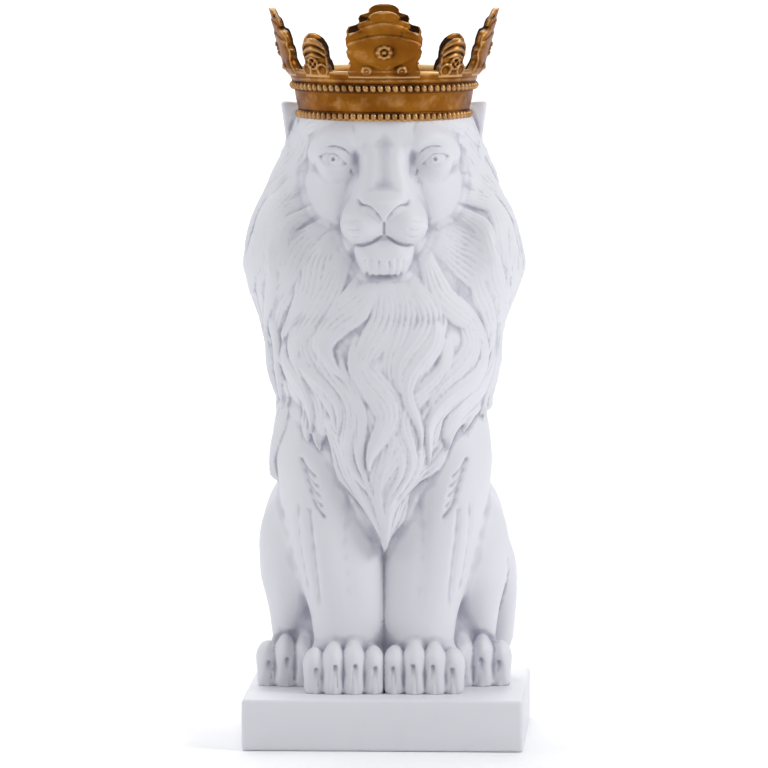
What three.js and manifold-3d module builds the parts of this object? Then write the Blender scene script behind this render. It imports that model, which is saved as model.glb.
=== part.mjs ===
// A seated lion statue in white resin, wearing a gold crown and standing on a plinth.
// Millimetres, +Z up. The origin is the centre of the plinth's underside, and the lion looks toward -Y.
import * as THREE from 'three';
import { mergeVertices } from 'three/addons/utils/BufferGeometryUtils.js';
import { RoundedBoxGeometry } from 'three/addons/geometries/RoundedBoxGeometry.js';
import Module from 'manifold-3d';

const wasm = await Module();
wasm.setup();

// Driving dimensions
const plinthWidth = 130;
const plinthDepth = 130;
const plinthHeight = 24;
const plinthEdge = 1.8; // rounding of the plinth's edges
const lionHeight = 266; // from the plinth's top to the seat of the crown
const lionTurn = 2.6; // degrees, toward +X
const lionShift = -2; // where the lion's middle stands beside the plinth's
const crownRadius = 39.5; // outside of the ring's foot
const crownWall = 3.2;
const crownBack = -6; // the crown's axis, in front of the lion's middle
const ringHeight = 23;
const ringFlare = 5.2; // how much wider the ring's rim is than its foot
const cordRadius = 2; // the two beaded cords around the ring
const leafWall = 3.4;
const leafLean = 0.2; // outward for each millimetre up
const greatLeafHeight = 28;
const greatLeafWidth = 33;
const smallLeafHeight = 15;
const smallLeafWidth = 15;
const seatGap = 0.4; // clearance between the crown and the head
const leafSink = 3; // how deep a leaf's foot is set into the ring

// How finely the lion is netted
const netReach = { x: [-70, 70], y: [-64, 72], z: [-8, 280] };
const netStep = 2.5;
const faceStep = 1.4;
const lionTriangles = 5500;
const faceWeight = 7; // how much a triangle of the face matters when triangles are left out
const backWeight = 0.5; // and one of the back

// What follows from them
const figureHeight = 266; // the height that the figure's own numbers below are written for
const unit = lionHeight / figureHeight;
const crownFoot = plinthHeight + lionHeight;
const radians = Math.PI / 180;

// Soft joins and cuts of distance fields. Each form gives the distance to its surface, negative inside.
function softMin(a, b, soft) {
  const h = Math.max(soft - Math.abs(a - b), 0) / soft;
  return Math.min(a, b) - h * h * soft / 4;
}

class Form {
  constructor(at) {
    this.at = at;
  }

  add(other, soft) {
    const [a, b] = [this.at, other.at];
    return new Form((x, y, z) => softMin(a(x, y, z), b(x, y, z), soft));
  }

  cut(other, soft) {
    const [a, b] = [this.at, other.at];
    return new Form((x, y, z) => -softMin(-a(x, y, z), b(x, y, z), soft));
  }

  within(other, soft) {
    const [a, b] = [this.at, other.at];
    return new Form((x, y, z) => -softMin(-a(x, y, z), -b(x, y, z), soft));
  }

  onBothSides() {
    const a = this.at;
    return new Form((x, y, z) => a(Math.abs(x), y, z));
  }
}

// Puts a form at a centre, turned about X (pitch), Y (roll) and Z (yaw), in degrees.
function placed([cx, cy, cz], { pitch = 0, yaw = 0, roll = 0 }, at) {
  const [sy, ky] = [Math.sin(yaw * radians), Math.cos(yaw * radians)];
  const [sp, kp] = [Math.sin(pitch * radians), Math.cos(pitch * radians)];
  const [sr, kr] = [Math.sin(roll * radians), Math.cos(roll * radians)];
  return new Form((px, py, pz) => {
    const [x0, y0, z0] = [px - cx, py - cy, pz - cz];
    const x1 = x0 * ky + y0 * sy;
    const y1 = y0 * ky - x0 * sy;
    const y = y1 * kp + z0 * sp;
    const z2 = z0 * kp - y1 * sp;
    return at(x1 * kr + z2 * sr, y, z2 * kr - x1 * sr);
  });
}

function egg(centre, [a, b, c], turn = {}) {
  return placed(centre, turn, (x, y, z) => {
    const [u, v, w] = [x / a, y / b, z / c];
    const k = Math.sqrt(u * u + v * v + w * w);
    const slope = Math.sqrt((u / a) ** 2 + (v / b) ** 2 + (w / c) ** 2);
    return k * (k - 1) / Math.max(slope, 1e-5);
  });
}

function slab(centre, [a, b, c], edge, turn = {}) {
  return placed(centre, turn, (x, y, z) => {
    const u = Math.abs(x) - a + edge;
    const v = Math.abs(y) - b + edge;
    const w = Math.abs(z) - c + edge;
    const out = Math.hypot(Math.max(u, 0), Math.max(v, 0), Math.max(w, 0));
    return out + Math.min(Math.max(u, v, w), 0) - edge;
  });
}

// A tapered limb from one knot to the next; a knot is x, y, z and the radius there.
function bone([ax, ay, az, ar], [bx, by, bz, br]) {
  const [dx, dy, dz] = [bx - ax, by - ay, bz - az];
  const square = dx * dx + dy * dy + dz * dz;
  return new Form((px, py, pz) => {
    const [x, y, z] = [px - ax, py - ay, pz - az];
    const t = Math.min(Math.max((x * dx + y * dy + z * dz) / square, 0), 1);
    return Math.sqrt((x - t * dx) ** 2 + (y - t * dy) ** 2 + (z - t * dz) ** 2) - ar - (br - ar) * t;
  });
}

// Points along a smooth curve through the knots, with this many parts from knot to knot.
function curve(knots, parts) {
  const ends = [knots[0], ...knots, knots.at(-1)];
  const points = [];
  for (let k = 0; k + 3 < ends.length; k += 1) {
    for (let part = 0; part < parts; part += 1) {
      const t = part / parts;
      const weights = [
        (-t + 2 * t ** 2 - t ** 3) / 2,
        (2 - 5 * t ** 2 + 3 * t ** 3) / 2,
        (t + 4 * t ** 2 - 3 * t ** 3) / 2,
        (t ** 3 - t ** 2) / 2,
      ];
      points.push(knots[0].map((_, axis) => weights.reduce((sum, w, i) => sum + w * ends[k + i][axis], 0)));
    }
  }
  return [...points, knots.at(-1)];
}

function limb(knots, soft) {
  const points = curve(knots, 3);
  const first = bone(points[0], points[1]);
  return points.slice(2).reduce((form, point, i) => form.add(bone(points[i + 1], point), soft), first);
}

// The value in a column of rows sorted by their first number, straight from row to row.
function valueAt(rows, at, column) {
  const next = rows.findIndex((row) => row[0] > at);
  if (next < 1) {
    return rows[next === 0 ? 0 : rows.length - 1][column];
  }
  const [low, high] = [rows[next - 1], rows[next]];
  return low[column] + (high[column] - low[column]) * (at - low[0]) / (high[0] - low[0]);
}

// An upright mass; a row is its height, half width, front and back. Power 2 gives oval sections.
function loft(rows, bottom, top, soft, power = 2) {
  const sorted = [...rows].sort((a, b) => a[0] - b[0]);
  const reach = 4;
  const levels = 291;
  const table = [1, 2, 3].map((column) => Float64Array.from({ length: levels }, (_, level) => {
    let sum = 0;
    for (let k = -reach; k <= reach; k += 1) {
      sum += valueAt(sorted, Math.min(Math.max(level + k, 0), levels - 1), column);
    }
    return sum / (2 * reach + 1);
  }));
  return new Form((x, y, z) => {
    const t = Math.min(Math.max(z, 0), levels - 1);
    const i = Math.min(Math.floor(t), levels - 2);
    const f = t - i;
    const [a, front, back] = table.map((column) => column[i] * (1 - f) + column[i + 1] * f);
    const b = (back - front) / 2;
    const [u, v] = [Math.abs(x) / a, Math.abs(y - (back + front) / 2) / b];
    const r = (u ** power + v ** power) ** (1 / power);
    const slope = Math.hypot(u ** (power - 1) / a, v ** (power - 1) / b);
    const side = r ** (power - 1) * (r - 1) / Math.max(slope, 1e-5);
    return -softMin(softMin(-side, top - z, soft), z - bottom, soft);
  });
}

// The lion's forms, written for its left side with z from the plinth's top, and mirrored.
const maneMass = loft([
  [280, 36, -41, 31], [266, 41, -45, 36], [258, 44, -41, 41], [250, 47.5, -36, 45], [238, 53, -34, 49],
  [221, 57.5, -37, 53], [209, 61, -42, 55], [196, 64.3, -45, 56], [182, 61, -47.5, 55.5],
  [172, 57, -48.5, 54.5], [162, 54.6, -48.5, 53.5], [150, 54.4, -47.5, 52.5], [140, 52, -46, 52],
  [130, 47, -44.5, 51], [118, 40, -42, 49], [104, 30, -38, 47], [90, 20, -30, 44],
], 84, 274, 6);
const bib = loft([
  [156, 46, -47, 4], [140, 43, -46.5, 4], [128, 37, -46, 4], [114, 30, -44.5, 2], [100, 22.5, -43, -2],
  [88, 15, -41, -4], [77, 8, -38.5, -8], [68, 2, -35, -14],
], 64, 166, 8);
const faceHollow = egg([0, -46, 241], [35, 26, 33]).add(egg([0, -46, 222], [20.5, 23, 27]), 10);
const mane = maneMass
  .add(bib, 10)
  .add(egg([48, -6, 206], [13, 26, 22]), 12)
  .cut(faceHollow, 6)
  .onBothSides();

const trunk = loft([
  [150, 44, -30, 48], [125, 44, -26, 52], [100, 41, -14, 56], [80, 38, -2, 59], [60, 38, 4, 61.5],
  [40, 41, 6, 62], [20, 42, 4, 61], [0, 40, 2, 59],
], -10, 160, 20).add(egg([29.5, -6, 112], [20.5, 25, 36]), 10);

const foreleg = limb([
  [27.5, -12, 104, 21], [26.2, -15, 80, 20], [22, -17, 58, 18.4], [17.8, -18, 38, 16.6], [16.4, -18, 20, 15.6],
], 1)
  .add(egg([38.5, -3, 88], [8, 12, 15]), 8)
  .add(bone([9, -19, 36, 11], [13, -16, 82, 13]), 8)
  .add(bone([0, -14, 18, 11], [0, -13, 62, 8]), 5);

function toe(x, y, size) {
  const knuckle = egg([x, y + 9.6, 14.6 * size], [5, 10.4, 8.8 * size], { pitch: -18 });
  const tip = slab([x, y + 6.4, 8.8 * size], [4.75, 6.2, 11.4 * size], 4.7, { pitch: -4 });
  return knuckle.add(tip, 2.5);
}

// A toe is where it stands across the paw, how far back and its size.
function paw(palm, front, toes) {
  return toes.reduce((form, [x, back, size]) => form.add(toe(x, front + back, size), 1.2), palm);
}

const frontPaw = paw(egg([18.2, -22, 12], [18.5, 15, 13]), -43.5, [
  [4.9, 0, 0.93], [14.2, -1.6, 1.03], [23.5, -1.4, 1], [32.4, 1, 0.88],
]);
const hindPaw = paw(egg([41.5, 4, 10], [18, 15, 11.5]), -14.5, [
  [28.5, 0.5, 0.95], [37.2, -1.2, 1], [46, -0.8, 1], [54.6, 2, 0.88],
]);
const hindLeg = egg([35, 20, 64], [23, 36, 39], { pitch: 14 })
  .add(egg([42, -3, 66], [15.5, 15, 24]), 10)
  .add(bone([43, -3, 50, 12.5], [42.5, 12, 14, 9]), 8)
  .add(bone([45, 40, 9, 10], [43, -2, 10, 10]), 5)
  .add(hindPaw, 3);

// The tail comes round the haunch on +X and ends in a tuft on it, so it isn't mirrored.
const tail = limb([
  [6, 53, 11, 8.5], [28, 54, 9, 7.6], [45, 45, 9, 7], [53.5, 33, 16, 6.6], [55.5, 22, 30, 6.4],
  [55.5, 12, 44, 7], [53.5, 3, 58, 8], [50, -5, 70, 6.4], [46.5, -10, 80, 2.5],
], 1);

// What closes the room between the fore and hind legs, set back from both.
const flank = egg([24, 2, 24], [17, 14, 34]);

const body = trunk.add(flank, 6).add(foreleg, 6).add(frontPaw, 3).add(hindLeg, 4).onBothSides().add(tail, 1.5);

// The face
const muzzle = loft([
  [272, 14, -41, -8], [262, 13.6, -44.2, -8], [254, 12.4, -46, -8], [246, 11.8, -47.8, -8],
  [240, 13.4, -49.4, -8], [233, 16, -51.6, -8], [226, 17.8, -53, -8], [219, 18, -52.4, -8],
  [213, 16.4, -50.4, -8], [208, 13.5, -47, -8], [202, 11, -43, -8],
], 202, 272, 6, 3);
const nose = egg([0, -47.4, 226.8], [11, 8.6, 8.4])
  .within(new Form((x, y, z) => x * 0.64 - (z - 219.8) * 0.77), 2);
const chin = loft([
  [216, 11, -46, -20], [211, 13.4, -51, -20], [207, 14.2, -53, -20], [203, 13.6, -53.4, -20],
  [199, 12, -52.4, -20], [195, 9.2, -49.6, -20],
], 195.4, 214, 3, 3);
const brow = limb([[14, -39.5, 256, 3.2], [20, -38.2, 257.4, 3.8], [27, -34, 256, 3.8], [32, -28, 250, 3.2]], 3);
const head = egg([0, -4, 238], [38, 38, 38])
  .add(egg([21, -17.5, 232], [14, 17, 22]), 8)
  .add(egg([0, -13, 263], [36, 32, 22]), 6)
  .within(new Form((x, y, z) => z - 273), 8)
  .add(brow, 6)
  .add(muzzle, 3.5)
  .add(egg([9.6, -41.6, 218.6], [10.8, 12.8, 10.4]), 3.5)
  .add(egg([10.5, -31, 209], [9, 11, 9]), 4)
  .add(chin, 1.6)
  .add(nose, 2.4)
  .cut(egg([22.4, -48.4, 247.4], [9.4, 8.2, 6.6], { yaw: 14, roll: 16 }), 6)
  .onBothSides();

// Eyeballs behind lids that leave an almond open, for the left side.
const eyePlace = [22.6, -33.8, 247.6];
const eyeTurn = { pitch: -3, yaw: 12, roll: 16 };
const ball = (radius) => placed(eyePlace, eyeTurn, (x, y, z) => Math.hypot(x, y, z) - radius);
const almond = placed(eyePlace, eyeTurn, (x, y, z) => (
  Math.max(Math.hypot(x, z + 5.2) - 8.3, Math.hypot(x, z - 5.2) - 8.3, y)
));
const face = head.add(ball(8.3), 4.5).cut(almond, 1).add(ball(7.5), 0.6).onBothSides();

const ear = slab([41, 0, 254], [11, 6, 22], 4)
  .within(new Form((x, y, z) => x - 45.2 - (z - 252) * 0.143), 2.5)
  .within(new Form((x, y, z) => (z - 273.6 + (47.4 - x) * 1.3) * 0.6), 2.5)
  .cut(egg([42.6, -8, 258], [4, 5, 9.5], { roll: 22 }), 2)
  .onBothSides();

// What the hair lies on, and the whole figure without the hair's own relief.
const coat = body.add(mane, 4).add(ear, 2.5);
const floorDepth = 2.5; // how far the figure's net reaches below the plinth's top before it is cut flat
const figure = coat.add(face, 2.2).within(new Form((x, y, z) => -floorDepth - z), 0.5);

// Repeatable chances between 0 and 1.
function chances(seed) {
  let state = seed;
  return () => {
    state = (state * 1103515245 + 12345) % 2147483648;
    return state / 2147483648;
  };
}

const dot = (a, b) => a[0] * b[0] + a[1] * b[1] + a[2] * b[2];
const cross = (a, b) => [a[1] * b[2] - a[2] * b[1], a[2] * b[0] - a[0] * b[2], a[0] * b[1] - a[1] * b[0]];
const along = (a, b, t) => [a[0] + b[0] * t, a[1] + b[1] * t, a[2] + b[2] * t];
const clamp = (v, low, high) => Math.min(Math.max(v, low), high);

function unitOf(v) {
  const length = Math.max(Math.hypot(...v), 1e-6);
  return v.map((part) => part / length);
}

function slopeOf(form, [x, y, z]) {
  const h = 0.6;
  return unitOf([
    form.at(x + h, y, z) - form.at(x - h, y, z),
    form.at(x, y + h, z) - form.at(x, y - h, z),
    form.at(x, y, z + h) - form.at(x, y, z - h),
  ]);
}

function settled(form, point, times) {
  let p = point;
  for (let k = 0; k < times; k += 1) {
    p = along(p, slopeOf(form, p), -clamp(form.at(...p), -4, 4));
  }
  return p;
}

// How far out the hair of the chest reaches at each height, down to its point between the forelegs.
const chestEdge = [
  [66, 1.5], [80, 4.5], [93, 9], [105, 17], [117, 28], [130, 41], [143, 54], [152, 57], [170, 58.5], [290, 58.5],
];

// Which way the hair runs: outward from the face's edge, then down and inward over the chest.
function flowAt([x, y, z], normal) {
  const [faceHeight, faceWidth, faceLength] = [236, 33, 41];
  const rx = x / faceWidth;
  const rz = (z - faceHeight) / faceLength;
  const front = clamp((6 - y) / 30, 0, 1);
  const pull = Math.exp(-((Math.max(Math.hypot(rx, rz) - 1, 0) / 0.55) ** 2)) * front;
  const outward = unitOf([rx * 1.25, 0.12 * Math.abs(rx), Math.min(rz, 0.2)]);
  const narrowing = (valueAt(chestEdge, z + 14, 1) - valueAt(chestEdge, z - 14, 1)) / 28;
  const inward = clamp(x / valueAt(chestEdge, z, 1), -1.1, 1.1) * narrowing * front * 0.85;
  const back = clamp((y + 10) / 50, 0, 1);
  const outer = clamp(Math.abs(x) / 40, 0, 1) * clamp((z - 150) / 30, 0, 1);
  const down = unitOf([-inward, 0.3 * outer * (1 - back) - 0.1 * back, -1]);
  const mixed = along(down.map((part) => part * (1 - pull)), outward, pull);
  return unitOf(along(mixed, normal, -dot(mixed, normal)));
}

// How low the hair may hang: to a point on the chest, and above the shoulders at the sides.
function hemAt([x, y]) {
  const side = clamp(Math.abs(x) / 42, 0, 1);
  const back = clamp((y + 28) / 24, 0, 1);
  return 66 * (1 - back) + (104 + 24 * side ** 2) * back;
}

// How far out the face reaches on each side at each height.
const faceEdge = [
  [203, 15.5], [210, 21], [217, 26.5], [224, 31], [230, 34], [239, 37], [247, 36], [254, 34], [264, 34],
];

// A row of locks that starts at the face's edge, and one under the chin.
function rimRoots() {
  const [low, high, apart, chinHeight] = [205, 262, 6.5, 193];
  const sides = [];
  for (let z = low; z < high; z += apart) {
    sides.push([valueAt(faceEdge, z, 1) + 1, z]);
  }
  const mirrored = sides.map(([x, z]) => [-x, z]);
  const under = [-11.5, -6, 0, 6, 11.5].map((x) => [x, chinHeight]);
  return [...sides, ...mirrored, ...under].map(([x, z]) => {
    let y = -75;
    for (let k = 0; k < 40; k += 1) {
      y += mane.at(x, y, z) * 0.7;
    }
    return [x, y, z];
  });
}

// Where the locks start: along the face's edge, then spread over the mane, no two near each other.
function lockRoots() {
  const [tries, apartAlong, apartAcross] = [7000, 25, 8];
  const chance = chances(11);
  const taken = rimRoots();
  for (let i = 0; i < tries; i += 1) {
    const angle = chance() * 2 * Math.PI;
    const z = 66 + chance() * 206;
    let r = 90;
    for (let k = 0; k < 40; k += 1) {
      r -= mane.at(r * Math.sin(angle), -r * Math.cos(angle), z) * 0.8;
    }
    const p = [r * Math.sin(angle), -r * Math.cos(angle), z];
    const onMane = Math.abs(mane.at(...p)) < 0.5 && r > 4 && r < 85;
    if (!onMane || head.at(...p) < 0.2 || ear.at(...p) < 0.4 || body.at(...p) < -0.5) {
      continue;
    }
    const flow = flowAt(p, slopeOf(mane, p));
    const clear = taken.every((other) => {
      const d = along(other, p, -1);
      const run = dot(d, flow);
      return run * run / apartAlong ** 2 + (dot(d, d) - run * run) / apartAcross ** 2 >= 1;
    });
    if (clear) {
      taken.push(p);
    }
  }
  return taken;
}

// A lock's track over the surface from a point, with the normals beside it.
function traced(start, length, wave, span, late) {
  const steps = 24;
  let p = settled(coat, start, 3);
  let n = slopeOf(coat, p);
  const track = [p];
  const normals = [n];
  for (let k = 0; k < steps; k += 1) {
    const grown = Math.min(1, 0.3 + 2 * (k + 0.5) / steps) * clamp((p[2] - 60) / 70, 0.25, 1);
    const turn = wave * Math.sin(2 * Math.PI * p[2] / span + late) * grown;
    const run = flowAt(p, n);
    const way = along(run.map((part) => part * Math.cos(turn)), cross(n, run), Math.sin(turn));
    p = settled(coat, along(p, way, length / steps), 1);
    n = slopeOf(coat, p);
    track.push(p);
    normals.push(n);
  }
  return { track, normals };
}

// How much of a lock lies on the chest or behind it, before it runs out over a foreleg.
function shareOnChest(track) {
  const out = track.findIndex(([x, y, z]) => y < -16 && Math.abs(x) > valueAt(chestEdge, z, 1) + 4);
  return out < 0 ? 1 : out / (track.length - 1);
}

// Each lock is a track with its normals, a half width and a height.
function combedLocks() {
  const shortest = 16;
  const chance = chances(7);
  const locks = [];
  for (const start of lockRoots()) {
    const u = Array.from({ length: 6 }, chance);
    const reach = 50 + 26 * u[0] + 14 * clamp((215 - start[2]) / 50, 0, 1);
    const hanging = Math.min(reach, (start[2] - hemAt(start)) * 1.06 + 10 * (u[5] - 0.3));
    if (hanging <= shortest) {
      continue;
    }
    const run = [0.42 + 0.4 * u[4], 56 + 8 * u[5], 0.045 * start[0] + (u[3] - 0.5) * 1.1];
    const length = hanging * shareOnChest(traced(start, hanging, ...run).track);
    if (length > shortest) {
      locks.push({
        ...traced(start, length, ...run),
        half: (5.2 + 4.4 * u[1]) * Math.min(1, length / 40),
        height: (2.6 + 2.4 * u[2]) * Math.min(1, length / 36),
      });
    }
  }
  return locks;
}

// How far the hair rises at each point: a lock is domed, higher on one side, grows toward its tip and lies
// over the next.
function hairRise(points, normals, locks) {
  const count = points.length / 3;
  const rise = new Float64Array(count);
  const slice = 6;
  const shelves = new Map();
  for (let i = 0; i < count; i += 1) {
    const shelf = Math.floor(points[3 * i + 2] / slice);
    if (!shelves.has(shelf)) {
      shelves.set(shelf, []);
    }
    shelves.get(shelf).push(i);
  }
  locks.forEach(({ track, normals: up, half, height }, number) => {
    const steps = track.length - 1;
    const low = [0, 1, 2].map((axis) => Math.min(...track.map((p) => p[axis])) - half);
    const high = [0, 1, 2].map((axis) => Math.max(...track.map((p) => p[axis])) + half);
    for (let shelf = Math.floor(low[2] / slice); shelf <= Math.floor(high[2] / slice); shelf += 1) {
      for (const i of shelves.get(shelf) ?? []) {
        const c = [points[3 * i], points[3 * i + 1], points[3 * i + 2]];
        if (c.some((part, axis) => part < low[axis] || part > high[axis])) {
          continue;
        }
        let [near, s, across] = [Infinity, 0, 0];
        for (let k = 0; k < steps; k += 1) {
          const e = along(track[k + 1], track[k], -1);
          const r = along(c, track[k], -1);
          const t = clamp(dot(r, e) / dot(e, e), 0, 1);
          const off = along(r, e, -t);
          if (dot(off, off) < near) {
            near = dot(off, off);
            s = (k + t) / steps;
            across = dot(off, unitOf(cross(up[k], e)));
          }
        }
        const width = Math.max(half * Math.min(1, 0.5 + s * 2) * clamp((1 - s) / 0.5, 0, 1) ** 0.75, 0.05);
        const ratio = Math.sqrt(near) / width;
        if (ratio >= 1) {
          continue;
        }
        const n = [normals[3 * i], normals[3 * i + 1], normals[3 * i + 2]];
        const facing = clamp((dot(n, up[Math.min(Math.floor(s * steps), steps)]) - 0.1) / 0.5, 0, 1);
        const side = across / width * (number % 2 ? 1 : -1);
        const shape = (0.12 + 0.88 * Math.sqrt(1 - ratio * ratio)) * (0.78 + 0.22 * side);
        rise[i] = Math.max(rise[i], height * (0.45 + 0.55 * s) * shape * facing);
      }
    }
  });
  return rise;
}

// How much a point takes of the hair's rise, none on the face and ears, and of the skin's sinking under it.
function hairShares(x, y, z) {
  const skin = mane.at(x, y, z);
  const beside = Math.min(head.at(x, y, z), ear.at(x, y, z));
  const belowCrown = clamp((268 - z) / 3, 0, 1);
  const rising = clamp((beside - skin) / 2.5 + 0.1, 0, 1) * belowCrown;
  const sinking = clamp((Math.min(beside, body.at(x, y, z)) - skin) / 4 + 0.1, 0, 1) * belowCrown;
  return [rising, sinking];
}

// Lines cut into the face: x and z of their points, seen from the front, with half width and depth.
const faceLines = [
  [[[12.2, 231.2], [10.9, 228.4], [7.8, 227.5], [5.4, 225.8], [3.1, 223.2], [0.2, 220.2]], 1, 1.4],
  [[[0, 221], [0, 217], [0, 213.6]], 1, 1.2],
  [[[0, 214], [4.2, 211.2], [7.8, 209.6], [11.2, 208.8], [14.4, 208.9]], 1.1, 1.7],
  [[[13.2, 246], [13.8, 242.6], [17.2, 235.2], [20, 224.2], [19.6, 218], [17.2, 211.9]], 1.6, 0.8],
].map(([knots, half, depth]) => ({ line: curve(knots, 4), half, depth }));

// How deep those lines cut at a point of the face.
function faceDepth(x, y, z, normal) {
  const [low, high] = [205, 250];
  if (normal[1] > -0.1 || z < low || z > high || head.at(x, y, z) > 0.8) {
    return 0;
  }
  return Math.max(...faceLines.map(({ line, half, depth }) => {
    const gaps = line.slice(1).map((end, k) => {
      const [dx, dz] = [end[0] - line[k][0], end[1] - line[k][1]];
      const [px, pz] = [Math.abs(x) - line[k][0], z - line[k][1]];
      const t = clamp((px * dx + pz * dz) / (dx * dx + dz * dz), 0, 1);
      return (px - t * dx) ** 2 + (pz - t * dz) ** 2;
    });
    return depth * Math.exp(-Math.min(...gaps) / half ** 2);
  }));
}

// Grid lines from one end to the other, closer together between two of them.
function gridLines(from, to, wide, fineFrom, fineTo, fine) {
  const lines = [from];
  while (lines.at(-1) < to) {
    const last = lines.at(-1);
    lines.push(last + (last >= fineFrom && last < fineTo ? fine : wide));
  }
  return lines;
}

// A form's distances at the grid's points. A block of them that lies far from the surface shares one.
function sampled(form, lines, at) {
  const field = new Float64Array(lines[0].length * lines[1].length * lines[2].length);
  const block = 4;
  const middle = (line, start) => (line[start] + line[Math.min(start + block, line.length) - 1]) / 2;
  const reach = 1.6 * block * Math.max(...lines.map((line) => line[1] - line[0]));
  for (let i = 0; i < lines[0].length; i += block) {
    for (let j = 0; j < lines[1].length; j += block) {
      for (let k = 0; k < lines[2].length; k += block) {
        const far = form.at(middle(lines[0], i), middle(lines[1], j), middle(lines[2], k));
        for (let n = 0; n < block ** 3; n += 1) {
          const [a, b, c] = [i + n % block, j + Math.floor(n / block) % block, k + Math.floor(n / block ** 2)];
          if (a < lines[0].length && b < lines[1].length && c < lines[2].length) {
            field[at(a, b, c)] = Math.abs(far) > reach ? far : form.at(lines[0][a], lines[1][b], lines[2][c]);
          }
        }
      }
    }
  }
  return field;
}

// The surface where a form's distance is zero, as a closed net with one point in each cell it crosses.
function netted(form, lines) {
  const [nx, ny, nz] = lines.map((line) => line.length);
  const at = (i, j, k) => (i * ny + j) * nz + k;
  const field = sampled(form, lines, at);
  const corners = [0, 1, 2, 3, 4, 5, 6, 7].map((c) => [c & 1, (c >> 1) & 1, (c >> 2) & 1]);
  const offsets = corners.map(([i, j, k]) => at(i, j, k));
  fillDoubtful(field, [nx, ny, nz], at, offsets);
  const number = new Int32Array(field.length).fill(-1);
  const points = [];
  for (let i = 0; i < nx - 1; i += 1) {
    for (let j = 0; j < ny - 1; j += 1) {
      for (let k = 0; k < nz - 1; k += 1) {
        const base = at(i, j, k);
        const values = offsets.map((offset) => field[base + offset]);
        const inside = values.filter((value) => value < 0).length;
        if (inside === 0 || inside === 8) {
          continue;
        }
        const sum = [0, 0, 0];
        let crossings = 0;
        for (let c = 0; c < 8; c += 1) {
          for (const bit of [1, 2, 4]) {
            const d = c | bit;
            if (c & bit || (values[c] < 0) === (values[d] < 0)) {
              continue;
            }
            const t = values[c] / (values[c] - values[d]);
            corners[c].forEach((corner, axis) => {
              const place = [i, j, k][axis];
              const start = lines[axis][place + corner];
              const end = lines[axis][place + corners[d][axis]];
              sum[axis] += start + (end - start) * t;
            });
            crossings += 1;
          }
        }
        number[base] = points.length / 3;
        points.push(...sum.map((part) => part / crossings));
      }
    }
  }
  const steps = [at(1, 0, 0), at(0, 1, 0), at(0, 0, 1)];
  const triangles = [];
  for (let i = 1; i < nx - 1; i += 1) {
    for (let j = 1; j < ny - 1; j += 1) {
      for (let k = 1; k < nz - 1; k += 1) {
        const base = at(i, j, k);
        for (let axis = 0; axis < 3; axis += 1) {
          const here = field[base] < 0;
          if (here === field[base + steps[axis]] < 0) {
            continue;
          }
          const [u, v] = [steps[(axis + 1) % 3], steps[(axis + 2) % 3]];
          const ring = [base - u - v, base - v, base, base - u].map((cell) => number[cell]);
          const [a, b, c, d] = here ? ring : ring.reverse();
          triangles.push(a, b, c, a, c, d);
        }
      }
    }
  }
  return { points: Float64Array.from(points), triangles: Int32Array.from(triangles) };
}

// Fills the corner of each cell where the surface would touch itself, until there are none.
function fillDoubtful(field, [nx, ny, nz], at, offsets) {
  const faces = [[0, 1, 3, 2], [4, 5, 7, 6], [0, 1, 5, 4], [2, 3, 7, 6], [0, 2, 6, 4], [1, 3, 7, 5]];
  const joined = (mask) => {
    const start = [0, 1, 2, 3, 4, 5, 6, 7].find((c) => mask & (1 << c));
    let seen = 1 << start;
    for (let round = 0; round < 7; round += 1) {
      for (let c = 0; c < 8; c += 1) {
        const touches = [1, 2, 4].some((bit) => seen & (1 << (c ^ bit)));
        if (mask & (1 << c) && touches) {
          seen |= 1 << c;
        }
      }
    }
    return seen === mask;
  };
  const plain = Array.from({ length: 256 }, (_, mask) => {
    if (mask === 0 || mask === 255) {
      return true;
    }
    const crossed = faces.some(([a, b, c, d]) => {
      const [p, q, r, s] = [a, b, c, d].map((corner) => Boolean(mask & (1 << corner)));
      return p === r && q === s && p !== q;
    });
    return joined(mask) && joined(255 - mask) && !crossed;
  });
  let changed = true;
  while (changed) {
    changed = false;
    for (let i = 0; i < nx - 1; i += 1) {
      for (let j = 0; j < ny - 1; j += 1) {
        for (let k = 0; k < nz - 1; k += 1) {
          const base = at(i, j, k);
          let mask = 0;
          for (let c = 0; c < 8; c += 1) {
            if (field[base + offsets[c]] < 0) {
              mask |= 1 << c;
            }
          }
          if (plain[mask]) {
            continue;
          }
          let nearest = -1;
          for (let c = 0; c < 8; c += 1) {
            const value = field[base + offsets[c]];
            if (value >= 0 && (nearest < 0 || value < field[base + offsets[nearest]])) {
              nearest = c;
            }
          }
          field[base + offsets[nearest]] = -0.05;
          changed = true;
        }
      }
    }
  }
}

function vertexNormals(points, triangles) {
  const normals = new Float64Array(points.length);
  for (let t = 0; t < triangles.length; t += 3) {
    const [a, b, c] = [0, 1, 2].map((k) => points.subarray(3 * triangles[t + k], 3 * triangles[t + k] + 3));
    const n = cross(along(b, a, -1), along(c, a, -1));
    for (let k = 0; k < 3; k += 1) {
      n.forEach((part, axis) => {
        normals[3 * triangles[t + k] + axis] += part;
      });
    }
  }
  for (let i = 0; i < normals.length; i += 3) {
    normals.set(unitOf(normals.subarray(i, i + 3)), i);
  }
  return normals;
}

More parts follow.
